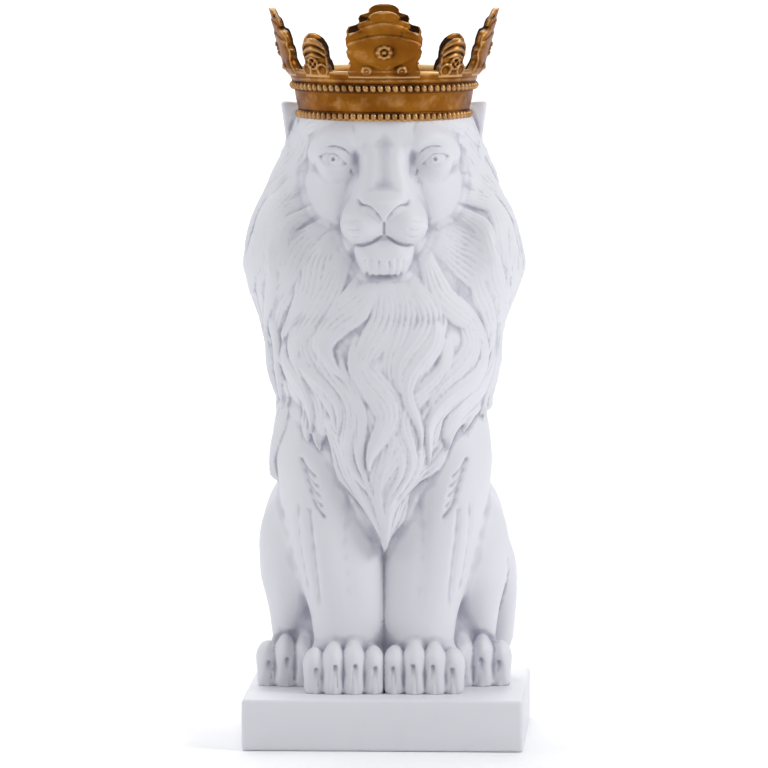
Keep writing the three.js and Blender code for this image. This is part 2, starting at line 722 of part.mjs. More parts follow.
// A heap of edges, the cheapest first.
class Heap {
  constructor() {
    this.items = [];
  }

  push(item) {
    const { items } = this;
    let i = items.length;
    items.push(item);
    while (i > 0) {
      const parent = (i - 1) >> 1;
      if (items[parent].cost <= item.cost) {
        break;
      }
      items[i] = items[parent];
      i = parent;
    }
    items[i] = item;
  }

  pop() {
    const { items } = this;
    const first = items[0];
    const item = items.pop();
    const count = items.length;
    let i = 0;
    while (count > 0) {
      let child = 2 * i + 1;
      if (child >= count) {
        break;
      }
      if (child + 1 < count && items[child + 1].cost < items[child].cost) {
        child += 1;
      }
      if (items[child].cost >= item.cost) {
        break;
      }
      items[i] = items[child];
      i = child;
    }
    if (count > 0) {
      items[i] = item;
    }
    return first;
  }
}

// Joins the ends of the edges that matter least until few enough triangles are left.
function simplified({ points, triangles }, wanted, weightAt) {
  const count = points.length / 3;
  const quadrics = Array.from({ length: count }, () => new Float64Array(10));
  const around = Array.from({ length: count }, () => []);
  const stamp = new Int32Array(count);
  const alive = new Uint8Array(triangles.length / 3).fill(1);
  const place = (i) => [points[3 * i], points[3 * i + 1], points[3 * i + 2]];
  const normalOf = (a, b, c) => cross(along(b, a, -1), along(c, a, -1));
  for (let t = 0; t < alive.length; t += 1) {
    const ids = triangles.subarray(3 * t, 3 * t + 3);
    const [a, b, c] = Array.from(ids, place);
    const area = normalOf(a, b, c);
    const [x, y, z] = unitOf(area);
    const d = -dot([x, y, z], a);
    const w = Math.hypot(...area) * weightAt(...a);
    const plane = [x * x, x * y, x * z, x * d, y * y, y * z, y * d, z * z, z * d, d * d];
    ids.forEach((id) => {
      plane.forEach((part, k) => {
        quadrics[id][k] += part * w;
      });
      around[id].push(t);
    });
  }
  const errorAt = (q, [x, y, z]) => q[0] * x * x + q[4] * y * y + q[7] * z * z + q[9]
    + 2 * (q[1] * x * y + q[2] * x * z + q[5] * y * z + q[3] * x + q[6] * y + q[8] * z);
  const best = (q, a, b) => {
    const middle = along(a, along(b, a, -1), 0.5);
    const rows = [[q[0], q[1], q[2]], [q[1], q[4], q[5]], [q[2], q[5], q[7]]];
    const det = dot(rows[0], cross(rows[1], rows[2]));
    const scale = Math.max(q[0] + q[4] + q[7], 1e-12);
    if (Math.abs(det) > 1e-4 * scale ** 3) {
      const right = [-q[3], -q[6], -q[8]];
      const solved = [
        dot(right, cross(rows[1], rows[2])) / det,
        dot(rows[0], cross(right, rows[2])) / det,
        dot(rows[0], cross(rows[1], right)) / det,
      ];
      const drift = along(solved, middle, -1);
      const edge = along(b, a, -1);
      if (dot(drift, drift) < dot(edge, edge)) {
        return solved;
      }
    }
    return [a, b, middle].reduce((p, r) => (errorAt(q, r) < errorAt(q, p) ? r : p));
  };
  const heap = new Heap();
  const offer = (a, b) => {
    const q = quadrics[a].map((part, k) => part + quadrics[b][k]);
    const target = best(q, place(a), place(b));
    const edge = along(place(a), place(b), -1);
    const cost = Math.max(errorAt(q, target), 0) + 1e-5 * dot(edge, edge);
    heap.push({ cost, a, b, target, stampA: stamp[a], stampB: stamp[b] });
  };
  const ring = (i) => {
    const found = new Set();
    around[i].forEach((t) => triangles.subarray(3 * t, 3 * t + 3).forEach((id) => found.add(id)));
    found.delete(i);
    return found;
  };
  const folds = (i, other, target) => around[i].some((t) => {
    const ids = Array.from(triangles.subarray(3 * t, 3 * t + 3));
    if (ids.includes(other)) {
      return false;
    }
    const before = normalOf(...ids.map(place));
    const after = normalOf(...ids.map((id) => (id === i ? target : place(id))));
    return dot(before, after) < 0.25 * Math.hypot(...before) * Math.hypot(...after);
  });
  for (let i = 0; i < count; i += 1) {
    ring(i).forEach((j) => {
      if (i < j) {
        offer(i, j);
      }
    });
  }
  let left = alive.length;
  while (left > wanted && heap.items.length > 0) {
    const { a, b, target, stampA, stampB } = heap.pop();
    if (stamp[a] !== stampA || stamp[b] !== stampB) {
      continue;
    }
    const ringB = ring(b);
    const shared = [...ring(a)].filter((id) => ringB.has(id));
    if (shared.length !== 2 || folds(a, b, target) || folds(b, a, target)) {
      continue;
    }
    points.set(target, 3 * a);
    quadrics[a] = quadrics[a].map((part, k) => part + quadrics[b][k]);
    const merged = new Set([...around[a], ...around[b]]);
    for (const t of merged) {
      const ids = triangles.subarray(3 * t, 3 * t + 3);
      if (ids.includes(a) && ids.includes(b)) {
        alive[t] = 0;
        left -= 1;
        merged.delete(t);
        ids.forEach((id) => {
          around[id] = around[id].filter((other) => other !== t);
        });
      } else if (ids.includes(b)) {
        ids.set(ids.map((id) => (id === b ? a : id)));
      }
    }
    around[a] = [...merged];
    around[b] = [];
    stamp[b] = -1;
    stamp[a] += 1;
    ring(a).forEach((j) => offer(a, j));
  }
  const kept = [];
  alive.forEach((flag, t) => {
    if (flag) {
      kept.push(...triangles.subarray(3 * t, 3 * t + 3));
    }
  });
  return meshGeometry(points, kept);
}

function meshGeometry(points, triangles) {
  const used = new Map();
  const vertices = [];
  const index = triangles.map((id) => {
    if (!used.has(id)) {
      used.set(id, used.size);
      vertices.push(points[3 * id], points[3 * id + 1], points[3 * id + 2]);
    }
    return used.get(id);
  });
  const geometry = new THREE.BufferGeometry();
  geometry.setAttribute('position', new THREE.Float32BufferAttribute(vertices, 3));
  geometry.setIndex(index);
  return geometry;
}

// Solids for joining and cutting.
function solidOf(geometry) {
  const bare = geometry.clone();
  bare.deleteAttribute('normal');
  bare.deleteAttribute('uv');
  const merged = mergeVertices(bare, 1e-4);
  return new wasm.Manifold(new wasm.Mesh({
    numProp: 3,
    vertProperties: Float32Array.from(merged.attributes.position.array),
    triVerts: Uint32Array.from(merged.index.array),
  }));
}

function geometryOf(solid) {
  const mesh = solid.getMesh();
  const geometry = new THREE.BufferGeometry();
  geometry.setAttribute('position', new THREE.Float32BufferAttribute(mesh.vertProperties, 3));
  geometry.setIndex(Array.from(mesh.triVerts));
  geometry.computeVertexNormals();
  return geometry;
}

// A ring about the crown's axis, from a closed outline of radius and height.
function turnedRing(outline, segments) {
  const profile = outline.map(([r, z]) => new THREE.Vector2(r, z));
  profile.push(profile[0].clone());
  return new THREE.LatheGeometry(profile, segments).rotateX(Math.PI / 2);
}

// The crown, with its foot at z = 0 and its axis at the origin.
const ringOuter = (z) => crownRadius + ringFlare * Math.max(z / ringHeight, 0) ** 1.6;
const cordHeights = [cordRadius, ringHeight * 0.66];
const cordRise = 0.55 * cordRadius; // how far a cord stands out of the ring
const ringTurns = 40;

function cordOutline(z) {
  const arc = 3;
  return Array.from({ length: arc + 1 }, (_, k) => {
    const turn = (k / arc - 0.5) * Math.PI;
    return [ringOuter(z) + cordRise * Math.cos(turn), z + cordRadius * Math.sin(turn)];
  });
}

function crownRing() {
  const [low, high] = cordHeights.map(cordOutline);
  const [belly, neck, rim] = [0.42, 0.88, 1].map((share) => {
    const z = share * ringHeight;
    return [ringOuter(z), z];
  });
  const outside = [...low, belly, ...high, neck, rim];
  const inside = [1, 0.5, 0].map((share) => {
    const z = share * ringHeight;
    return [ringOuter(z) - crownWall, z];
  });
  return turnedRing([...outside, ...inside], ringTurns);
}

// A lobed leaf that follows the ring round and leans outward with it.
function leaf(width, height, angle, outline, rows, columns) {
  const foot = ringHeight - leafSink;
  const swelling = 0.22 * leafWall;
  const thinning = 0.25; // the share of its wall that a leaf loses toward its tip
  const points = [];
  const cell = (side, row, column) => (side * (rows + 1) + row) * (columns + 1) + column;
  for (const side of [0, 1]) {
    for (let row = 0; row <= rows; row += 1) {
      const t = row / rows;
      const z = foot + (height + leafSink) * t;
      const base = ringOuter(ringHeight) + (z - ringHeight) * leafLean;
      for (let column = 0; column <= columns; column += 1) {
        const across = column / columns * 2 - 1;
        const swell = side === 0 ? swelling * (1 - across * across) : 0;
        const radius = base + swell - side * leafWall * (1 - thinning * t);
        const turn = angle + across * width / 2 * valueAt(outline, t, 1) / ringOuter(ringHeight);
        points.push(radius * Math.sin(turn), -radius * Math.cos(turn), z);
      }
    }
  }
  const triangles = [];
  const quad = (a, b, c, d) => triangles.push(a, b, c, a, c, d);
  for (let row = 0; row < rows; row += 1) {
    for (let column = 0; column < columns; column += 1) {
      quad(cell(0, row, column), cell(0, row, column + 1), cell(0, row + 1, column + 1), cell(0, row + 1, column));
      quad(cell(1, row, column), cell(1, row + 1, column), cell(1, row + 1, column + 1), cell(1, row, column + 1));
    }
    quad(cell(0, row, 0), cell(0, row + 1, 0), cell(1, row + 1, 0), cell(1, row, 0));
    quad(cell(0, row, columns), cell(1, row, columns), cell(1, row + 1, columns), cell(0, row + 1, columns));
  }
  for (let column = 0; column < columns; column += 1) {
    quad(cell(0, 0, column), cell(1, 0, column), cell(1, 0, column + 1), cell(0, 0, column + 1));
    quad(cell(0, rows, column), cell(0, rows, column + 1), cell(1, rows, column + 1), cell(1, rows, column));
  }
  return meshGeometry(points, triangles);
}

// Outlines as share of the leaf's height and of its half width.
const greatOutline = [
  [0, 1.04], [0.1, 1.03], [0.26, 0.92], [0.4, 0.95], [0.52, 1], [0.66, 0.95], [0.71, 0.76], [0.74, 0.64],
  [0.86, 0.58], [0.89, 0.36], [0.94, 0.3], [1, 0.1],
];
const smallOutline = [[0, 1], [0.35, 1], [0.6, 0.92], [0.8, 0.7], [0.92, 0.42], [1, 0.14]];

function crownSolid() {
  const leaves = [];
  for (let i = 0; i < 4; i += 1) {
    const angle = i * Math.PI / 2;
    leaves.push(leaf(greatLeafWidth, greatLeafHeight, angle, greatOutline, 13, 5));
    leaves.push(leaf(smallLeafWidth, smallLeafHeight, angle + Math.PI / 4, smallOutline, 6, 3));
  }
  return leaves.reduce((solid, shape) => solid.add(solidOf(shape)), solidOf(crownRing()));
}

// What the crown needs free on the head: its ring, wider by the clearance, and all above it.
function seatCutter() {
  const far = crownRadius * 3;
  const inner = crownRadius - crownWall - seatGap;
  const top = lionHeight;
  const outer = crownRadius + cordRise + seatGap;
  const rim = ringOuter(ringHeight) + seatGap;
  const profile = [[inner, 0], [outer, 0], [outer, ringHeight / 2], [rim, ringHeight], [inner, ringHeight]];
  const ring = turnedRing(profile, ringTurns);
  const lid = new THREE.BoxGeometry(far, far, top).translate(0, 0, ringHeight + top / 2);
  return solidOf(ring).add(solidOf(lid)).translate([0, crownBack, lionHeight]);
}

function lionSolid() {
  const lines = [
    gridLines(...netReach.x, netStep, -35, 34, faceStep),
    gridLines(...netReach.y, netStep, netReach.y[0], -30, faceStep),
    gridLines(...netReach.z, netStep, 192, 262, faceStep),
  ];
  const net = netted(figure, lines);
  const { points, triangles } = net;
  const normals = vertexNormals(points, triangles);
  const rise = hairRise(points, normals, combedLocks());
  const sunk = 1.6; // how far the skin under the hair lies below the mean
  for (let i = 0; i < rise.length; i += 1) {
    const [x, y, z] = points.subarray(3 * i, 3 * i + 3);
    const normal = normals.subarray(3 * i, 3 * i + 3);
    const [rising, sinking] = hairShares(x, y, z);
    const move = rise[i] * rising - sunk * sinking - faceDepth(x, y, z, normal);
    points.set(along([x, y, z], normal, move), 3 * i);
  }
  const onFace = (x, y, z) => y < -26 && Math.abs(x) < 34 && z > 194 && z < 262;
  const weightAt = (x, y, z) => (onFace(x, y, z) ? faceWeight : 1) * (y < 0 ? 1 : backWeight);
  const surface = simplified(net, lionTriangles, weightAt);
  const depth = lionHeight;
  const below = new THREE.BoxGeometry(4 * depth, 4 * depth, depth).translate(0, 0, -depth / 2);
  return solidOf(surface.scale(unit, unit, unit)).subtract(solidOf(below)).subtract(seatCutter());
}

const resin = new THREE.MeshStandardMaterial({ color: 0xe9e8ef, roughness: 0.5, metalness: 0 });
const gold = new THREE.MeshStandardMaterial({ color: 0xa8701f, roughness: 0.38, metalness: 0.85 });

function named(name, geometry, material) {
  const mesh = new THREE.Mesh(geometry, material);
  mesh.name = name;
  return mesh;
}

const statue = new THREE.Group();
const plinthShape = new RoundedBoxGeometry(plinthWidth, plinthDepth, plinthHeight, 2, plinthEdge);
const plinth = named('plinth', plinthShape, resin);
plinth.position.z = plinthHeight / 2;
statue.add(plinth);

const seated = new THREE.Group();
seated.position.x = lionShift;
seated.rotation.z = lionTurn * radians;
const lion = named('lion', geometryOf(lionSolid()), resin);
lion.position.z = plinthHeight;
const crown = named('crown', geometryOf(crownSolid()), gold);
crown.position.set(0, crownBack, crownFoot);
seated.add(lion, crown);
statue.add(seated);

export default statue;
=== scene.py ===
"""A seated lion statue in white resin, wearing a gold crown and standing on a plinth."""

import math

import bpy
import numpy as np
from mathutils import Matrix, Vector


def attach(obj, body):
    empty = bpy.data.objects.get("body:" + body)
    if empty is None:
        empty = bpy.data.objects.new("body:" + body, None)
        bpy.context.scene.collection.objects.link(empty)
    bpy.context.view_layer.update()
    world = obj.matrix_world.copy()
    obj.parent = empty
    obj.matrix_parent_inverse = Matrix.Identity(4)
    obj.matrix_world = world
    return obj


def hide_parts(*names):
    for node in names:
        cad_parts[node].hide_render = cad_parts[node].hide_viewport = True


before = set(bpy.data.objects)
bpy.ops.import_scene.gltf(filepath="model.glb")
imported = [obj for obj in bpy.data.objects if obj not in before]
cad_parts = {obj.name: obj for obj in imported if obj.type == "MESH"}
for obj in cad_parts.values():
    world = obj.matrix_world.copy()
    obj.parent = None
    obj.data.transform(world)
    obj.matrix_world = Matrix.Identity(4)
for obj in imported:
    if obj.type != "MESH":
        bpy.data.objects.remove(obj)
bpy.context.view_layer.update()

# Sizes in millimetres, as in the CAD part. The lion's own numbers are written for FIGURE_HEIGHT.
MM = 0.001
PLINTH_WIDTH = 130
PLINTH_DEPTH = 130
PLINTH_HEIGHT = 24
PLINTH_EDGE = 1.8
LION_HEIGHT = 266
FIGURE_HEIGHT = 266
LION_TURN = 2.6
LION_SHIFT = -2
CROWN_RADIUS = 39.5
CROWN_WALL = 3.2
CROWN_BACK = -6
RING_HEIGHT = 23
RING_FLARE = 5.2
CORD_RADIUS = 2
LEAF_WALL = 3.4
LEAF_SINK = 3
LEAF_LEAN = 0.27
GREAT_LEAF_HEIGHT = 28
SMALL_LEAF_HEIGHT = 15
BEADS_IN_CORD = 78
BEAD_WIDTH = 1.4


# Distance fields


def soft_min(a, b, soft):
    h = np.maximum(soft - np.abs(a - b), 0) / soft
    return np.minimum(a, b) - h * h * soft / 4


class Form:
    """A solid as the distance to its surface, negative inside. A call takes arrays of x, y and z."""

    def __init__(self, at):
        self.at = at

    def add(self, other, soft):
        return Form(lambda x, y, z: soft_min(self.at(x, y, z), other.at(x, y, z), soft))

    def cut(self, other, soft):
        return Form(lambda x, y, z: -soft_min(-self.at(x, y, z), other.at(x, y, z), soft))

    def within(self, other, soft):
        return Form(lambda x, y, z: -soft_min(-self.at(x, y, z), -other.at(x, y, z), soft))

    def on_both_sides(self):
        return Form(lambda x, y, z: self.at(np.abs(x), y, z))


def placed(centre, turn, at):
    """A form at a centre, turned about X (pitch), Y (roll) and Z (yaw), in degrees."""
    pitch, yaw, roll = (math.radians(turn.get(name, 0)) for name in ("pitch", "yaw", "roll"))

    def moved(x, y, z):
        x, y, z = x - centre[0], y - centre[1], z - centre[2]
        if yaw:
            x, y = x * math.cos(yaw) + y * math.sin(yaw), y * math.cos(yaw) - x * math.sin(yaw)
        if pitch:
            y, z = y * math.cos(pitch) + z * math.sin(pitch), z * math.cos(pitch) - y * math.sin(pitch)
        if roll:
            x, z = x * math.cos(roll) + z * math.sin(roll), z * math.cos(roll) - x * math.sin(roll)
        return at(x, y, z)

    return Form(moved)


def egg(centre, radii, **turn):
    def at(x, y, z):
        a, b, c = x / radii[0], y / radii[1], z / radii[2]
        k = np.sqrt(a * a + b * b + c * c)
        slope = np.sqrt((a / radii[0]) ** 2 + (b / radii[1]) ** 2 + (c / radii[2]) ** 2)
        return k * (k - 1) / np.maximum(slope, 1e-5)

    return placed(centre, turn, at)


def slab(centre, half, edge, **turn):
    def at(x, y, z):
        a, b, c = (np.abs(part) - size + edge for part, size in zip((x, y, z), half))
        out = np.sqrt(np.maximum(a, 0) ** 2 + np.maximum(b, 0) ** 2 + np.maximum(c, 0) ** 2)
        return out + np.minimum(np.maximum(a, np.maximum(b, c)), 0) - edge

    return placed(centre, turn, at)


def bone(start, end):
    """A tapered limb from one knot to the next; a knot is x, y, z and the radius there."""
    run = [end[i] - start[i] for i in range(4)]
    square = sum(part * part for part in run[:3])

    def at(x, y, z):
        x, y, z = x - start[0], y - start[1], z - start[2]
        t = np.clip((x * run[0] + y * run[1] + z * run[2]) / square, 0, 1)
        off = (x - t * run[0]) ** 2 + (y - t * run[1]) ** 2 + (z - t * run[2]) ** 2
        return np.sqrt(off) - start[3] - run[3] * t

    return Form(at)


def curve(knots, parts):
    """Points along a smooth curve through the knots, with this many parts from knot to knot."""
    ends = [knots[0], *knots, knots[-1]]
    points = []
    for a, b, c, d in zip(ends, ends[1:], ends[2:], ends[3:]):
        for k in range(parts):
            t = k / parts
            weights = (
                (-t + 2 * t * t - t**3) / 2,
                (2 - 5 * t * t + 3 * t**3) / 2,
                (t + 4 * t * t - 3 * t**3) / 2,
                (t**3 - t * t) / 2,
            )
            points.append([sum(w * v for w, v in zip(weights, column)) for column in zip(a, b, c, d)])
    return points + [list(knots[-1])]


def limb(knots, soft, parts=3):
    points = curve(knots, parts)
    form = bone(points[0], points[1])
    for start, end in zip(points[1:], points[2:]):
        form = form.add(bone(start, end), soft)
    return form


def loft(rows, bottom, top, soft, power=2):
    """An upright mass; a row is its height, half width, front and back. Power 2 gives oval sections."""
    levels = np.arange(0, 291.0)
    reach = 4
    rows = sorted(rows)
    table = []
    for column in (1, 2, 3):
        straight = np.interp(levels, [row[0] for row in rows], [row[column] for row in rows])
        wide = np.pad(straight, reach, mode="edge")
        table.append(np.convolve(wide, np.full(2 * reach + 1, 1 / (2 * reach + 1)), "valid"))

    def at(x, y, z):
        t = np.clip(z, 0, levels[-1])
        i = np.minimum(t.astype(np.int32), len(levels) - 2)
        f = t - i
        a, front, back = (column[i] * (1 - f) + column[i + 1] * f for column in table)
        b = (back - front) / 2
        u, v = np.abs(x) / a, np.abs(y - (back + front) / 2) / b
        r = (u**power + v**power) ** (1 / power)
        slope = np.sqrt((u ** (power - 1) / a) ** 2 + (v ** (power - 1) / b) ** 2)
        side = r ** (power - 1) * (r - 1) / np.maximum(slope, 1e-5)
        return -soft_min(soft_min(-side, top - z, soft), z - bottom, soft)

    return Form(at)


# The lion's forms, written for its left side with z from the plinth's top, and mirrored

mane_mass = loft(
    [
        (280, 36, -41, 31), (266, 41, -45, 36), (258, 44, -41, 41), (250, 47.5, -36, 45),
        (238, 53, -34, 49), (221, 57.5, -37, 53), (209, 61, -42, 55), (196, 64.3, -45, 56),
        (182, 61, -47.5, 55.5), (172, 57, -48.5, 54.5), (162, 54.6, -48.5, 53.5), (150, 54.4, -47.5, 52.5),
        (140, 52, -46, 52), (130, 47, -44.5, 51), (118, 40, -42, 49), (104, 30, -38, 47), (90, 20, -30, 44),
    ],
    84, 274, 6,
)
bib = loft(
    [
        (156, 46, -47, 4), (140, 43, -46.5, 4), (128, 37, -46, 4), (114, 30, -44.5, 2),
        (100, 22.5, -43, -2), (88, 15, -41, -4), (77, 8, -38.5, -8), (68, 2, -35, -14),
    ],
    64, 166, 8,
)
face_hollow = egg((0, -46, 241), (35.0, 26, 33)).add(egg((0, -46, 222), (20.5, 23, 27)), 10)
mane = (
    mane_mass.add(bib, 10)
    .add(egg((48, -6, 206), (13, 26, 22)), 12)
    .cut(face_hollow, 6)
    .on_both_sides()
)

trunk = loft(
    [
        (150, 44, -30, 48), (125, 44, -26, 52), (100, 41, -14, 56), (80, 38, -2, 59), (60, 38, 4, 61.5),
        (40, 41, 6, 62), (20, 42, 4, 61), (0, 40, 2, 59),
    ],
    -10, 160, 20,
).add(egg((29.5, -6, 112), (20.5, 25, 36)), 10)

foreleg = (
    limb(
        [
            (27.5, -12, 104, 21), (26.2, -15, 80, 20), (22, -17, 58, 18.4),
            (17.8, -18, 38, 16.6), (16.4, -18, 20, 15.6),
        ],
        1,
    )
    .add(egg((38.5, -3, 88), (8, 12, 15)), 8)
    .add(bone((9, -19, 36, 11), (13, -16, 82, 13)), 8)
    .add(bone((0, -14, 18, 11), (0, -13, 62, 8)), 5)
)


def toe(x, y, size):
    knuckle = egg((x, y + 9.6, 14.6 * size), (5, 10.4, 8.8 * size), pitch=-18)
    tip = slab((x, y + 6.4, 8.8 * size), (4.75, 6.2, 11.4 * size), 4.7, pitch=-4)
    return knuckle.add(tip, 2.5)


def paw(palm, front, toes):
    """A toe is where it stands across the paw, how far back and its size."""
    for x, back, size in toes:
        palm = palm.add(toe(x, front + back, size), 1.2)
    return palm


def clawed(form, front, toes):
    """Each toe's claw, in a slot down its front."""
    for x, back, size in toes:
        top, face = 13 * size, front + back
        form = form.cut(bone((x - 0.8, face + 0.3, top, 1), (x - 0.6, face - 0.5, 0, 2)), 1)
        form = form.add(bone((x - 0.5, face + 2, top - 2, 1), (x - 0.5, face + 1, 0, 1.3)), 0.5)
    return form


FRONT_TOES = (-43.5, [(4.9, 0, 0.93), (14.2, -1.6, 1.03), (23.5, -1.4, 1), (32.4, 1, 0.88)])
HIND_TOES = (-14.5, [(28.5, 0.5, 0.95), (37.2, -1.2, 1), (46, -0.8, 1), (54.6, 2, 0.88)])
front_paw = clawed(paw(egg((18.2, -22, 12), (18.5, 15, 13)), *FRONT_TOES), *FRONT_TOES)
hind_paw = clawed(paw(egg((41.5, 4, 10), (18, 15, 11.5)), *HIND_TOES), *HIND_TOES)
hind_leg = (
    egg((35, 20, 64), (23, 36, 39), pitch=14)
    .add(egg((42, -3, 66), (15.5, 15, 24)), 10)
    .add(bone((43, -3, 50, 12.5), (42.5, 12, 14, 9)), 8)
    .add(bone((45, 40, 9, 10), (43, -2, 10, 10)), 5)
    .add(hind_paw, 3)
)

# The tail comes round the haunch on +X and ends in a tuft on it, so it isn't mirrored
tail = limb(
    [
        (6, 53, 11, 8.5), (28, 54, 9, 7.6), (45, 45, 9, 7), (53.5, 33, 16, 6.6), (55.5, 22, 30, 6.4),
        (55.5, 12, 44, 7), (53.5, 3, 58, 8), (50, -5, 70, 6.4), (46.5, -10, 80, 2.5),
    ],
    1,
)
flank = egg((24, 2, 24), (17, 14, 34))
body = (
    trunk.add(flank, 6).add(foreleg, 6).add(front_paw, 3).add(hind_leg, 4).on_both_sides().add(tail, 1.5)
)

# The face
muzzle = loft(
    [
        (272, 14, -41, -8), (262, 13.6, -44.2, -8), (254, 12.4, -46, -8), (246, 11.8, -47.8, -8),
        (240, 13.4, -49.4, -8), (233, 16, -51.6, -8), (226, 17.8, -53, -8), (219, 18, -52.4, -8),
        (213, 16.4, -50.4, -8), (208, 13.5, -47, -8), (202, 11, -43, -8),
    ],
    202, 272, 6, 3,
)
nose = egg((0, -47.4, 226.8), (11, 8.6, 8.4)).within(
    Form(lambda x, y, z: x * 0.64 - (z - 219.8) * 0.77), 2
)
chin = loft(
    [
        (216, 11, -46, -20), (211, 13.4, -51, -20), (207, 14.2, -53, -20), (203, 13.6, -53.4, -20),
        (199, 12, -52.4, -20), (195, 9.2, -49.6, -20),
    ],
    195.4, 214, 3, 3,
)
brow = limb([(14, -39.5, 256, 3.2), (20, -38.2, 257.4, 3.8), (27, -34, 256, 3.8), (32, -28, 250, 3.2)], 3)
head = (
    egg((0, -4, 238), (38, 38, 38))
    .add(egg((21, -17.5, 232), (14, 17, 22)), 8)
    .add(egg((0, -13, 263), (36, 32, 22)), 6)
    .within(Form(lambda x, y, z: z - 273), 8)
    .add(brow, 6)
    .add(muzzle, 3.5)
    .add(egg((9.6, -41.6, 218.6), (10.8, 12.8, 10.4)), 3.5)
    .add(egg((10.5, -31, 209), (9, 11, 9)), 4)
    .add(chin, 1.6)
    .add(nose, 2.4)
    .cut(egg((22.4, -48.4, 247.4), (9.4, 8.2, 6.6), yaw=14, roll=16), 6)
    .on_both_sides()
)


def with_eyes(form):
    """Eyeballs with lids cut to an almond, a ring round the iris and a pupil."""
    eye_centre = (22.6, -33.8, 247.6)
    eye_turn = {"pitch": -3, "yaw": 12, "roll": 16}
    lids_radius, ball_radius = 8.3, 7.5

    def at(x, y, z):
        def look(part):
            return placed(eye_centre, eye_turn, part).at(np.abs(x), y, z)

        ball = look(lambda a, b, c: np.sqrt(a * a + b * b + c * c))
        upper = look(lambda a, b, c: np.sqrt(a * a + (c + 5.2) ** 2) - lids_radius)
        lower = look(lambda a, b, c: np.sqrt(a * a + (c - 5.2) ** 2) - lids_radius)
        behind = look(lambda a, b, c: b)
        rim = look(lambda a, b, c: np.sqrt((a + 0.4) ** 2 + (c - 0.4) ** 2))
        lids = soft_min(form.at(x, y, z), ball - lids_radius, 4.5)
        opening = np.maximum(np.maximum(upper, lower), behind)
        out = -soft_min(-lids, opening, 1)
        out = soft_min(out, ball - ball_radius, 0.6)
        near = np.abs(ball - ball_radius)
        out = -soft_min(-out, np.maximum(np.abs(rim - 2.5) - 0.25, near - 0.35), 0.4)
        return -soft_min(-out, np.maximum(np.maximum(rim - 0.9, near - 1.0), behind), 0.4)

    return Form(at)


ear = (
    slab((41, 0, 254), (11, 6, 22), 4)
    .within(Form(lambda x, y, z: x - 45.2 - (z - 252) * 0.143), 2.5)
    .within(Form(lambda x, y, z: z - 273.4 + (48 - x) * 0.1), 2)
    .within(Form(lambda x, y, z: 37.8 - x), 1)
    .cut(egg((42.6, -8, 258), (4, 5, 9.5), roll=22), 2)
    .on_both_sides()
)

# What the hair lies on, and the whole figure without the hair's own relief
coat = body.add(mane, 4).add(ear, 2.5)
FLOOR_DEPTH = 2.5
figure = coat.add(with_eyes(head), 2.2).within(Form(lambda x, y, z: -FLOOR_DEPTH - z), 0.5)


# Hair


class Chance:
    """Repeatable chances between 0 and 1."""

    def __init__(self, seed):
        self.state = seed

    def draw(self, *shape):
        count = int(np.prod(shape))
        values = np.empty(count)
        for i in range(count):
            self.state = (self.state * 1103515245 + 12345) % 2147483648
            values[i] = self.state / 2147483648
        return values.reshape(shape)


def unit_of(v):
    return v / np.maximum(np.linalg.norm(v, axis=-1, keepdims=True), 1e-6)


def at_points(form, points):
    return form.at(points[:, 0], points[:, 1], points[:, 2])


def slope_of(form, points):
    h = 0.6
    columns = []
    for axis in range(3):
        step = np.zeros(3)
        step[axis] = h
        columns.append(at_points(form, points + step) - at_points(form, points - step))
    return unit_of(np.stack(columns, 1))


def settled(form, points, times):
    for _ in range(times):
        points = points - slope_of(form, points) * np.clip(at_points(form, points), -4, 4)[:, None]
    return points


# How far out the hair of the chest reaches at each height, down to its point between the forelegs
CHEST_EDGE = [
    (66, 1.5), (80, 4.5), (93, 9), (105, 17), (117, 28),
    (130, 41), (143, 54), (152, 57), (170, 58.5), (290, 58.5),
]
CHEST_Z = [row[0] for row in CHEST_EDGE]
CHEST_X = [row[1] for row in CHEST_EDGE]


def flow_at(points, normals):
    """Which way the hair runs: outward from the face's edge, then down and inward over the chest."""
    face_height, face_width, face_length = 236, 33, 41
    x, y, z = points.T
    rx, rz = x / face_width, (z - face_height) / face_length
    front = np.clip((6 - y) / 30, 0, 1)
    pull = np.exp(-((np.maximum(np.hypot(rx, rz) - 1, 0) / 0.55) ** 2)) * front
    outward = unit_of(np.stack([rx * 1.25, 0.12 * np.abs(rx), np.minimum(rz, 0.2)], 1))
    wide = np.interp(z, CHEST_Z, CHEST_X)
    narrowing = (np.interp(z + 14, CHEST_Z, CHEST_X) - np.interp(z - 14, CHEST_Z, CHEST_X)) / 28
    inward = np.clip(x / wide, -1.1, 1.1) * narrowing * front * 0.85
    back = np.clip((y + 10) / 50, 0, 1)
    sweep = 0.3 * np.clip(np.abs(x) / 40, 0, 1) * (1 - back) * np.clip((z - 150) / 30, 0, 1) - 0.1 * back
    down = unit_of(np.stack([-inward, sweep, -np.ones_like(z)], 1))
    mixed = outward * pull[:, None] + down * (1 - pull)[:, None]
    return unit_of(mixed - normals * (mixed * normals).sum(1, keepdims=True))


def hem_at(points):
    """How low the hair may hang: to a point on the chest, and above the shoulders at the sides."""
    back = np.clip((points[:, 1] + 28) / 24, 0, 1)
    side = np.clip(np.abs(points[:, 0]) / 42, 0, 1)
    return 66 * (1 - back) + (104 + 24 * side * side) * back


# How far out the face reaches on each side at each height, and where the hair starts beside it
FACE_EDGE = [
    (264, 34), (254, 34), (247, 36), (239, 37), (230, 34), (224, 31), (217, 26.5), (210, 21), (203, 15.5),
]


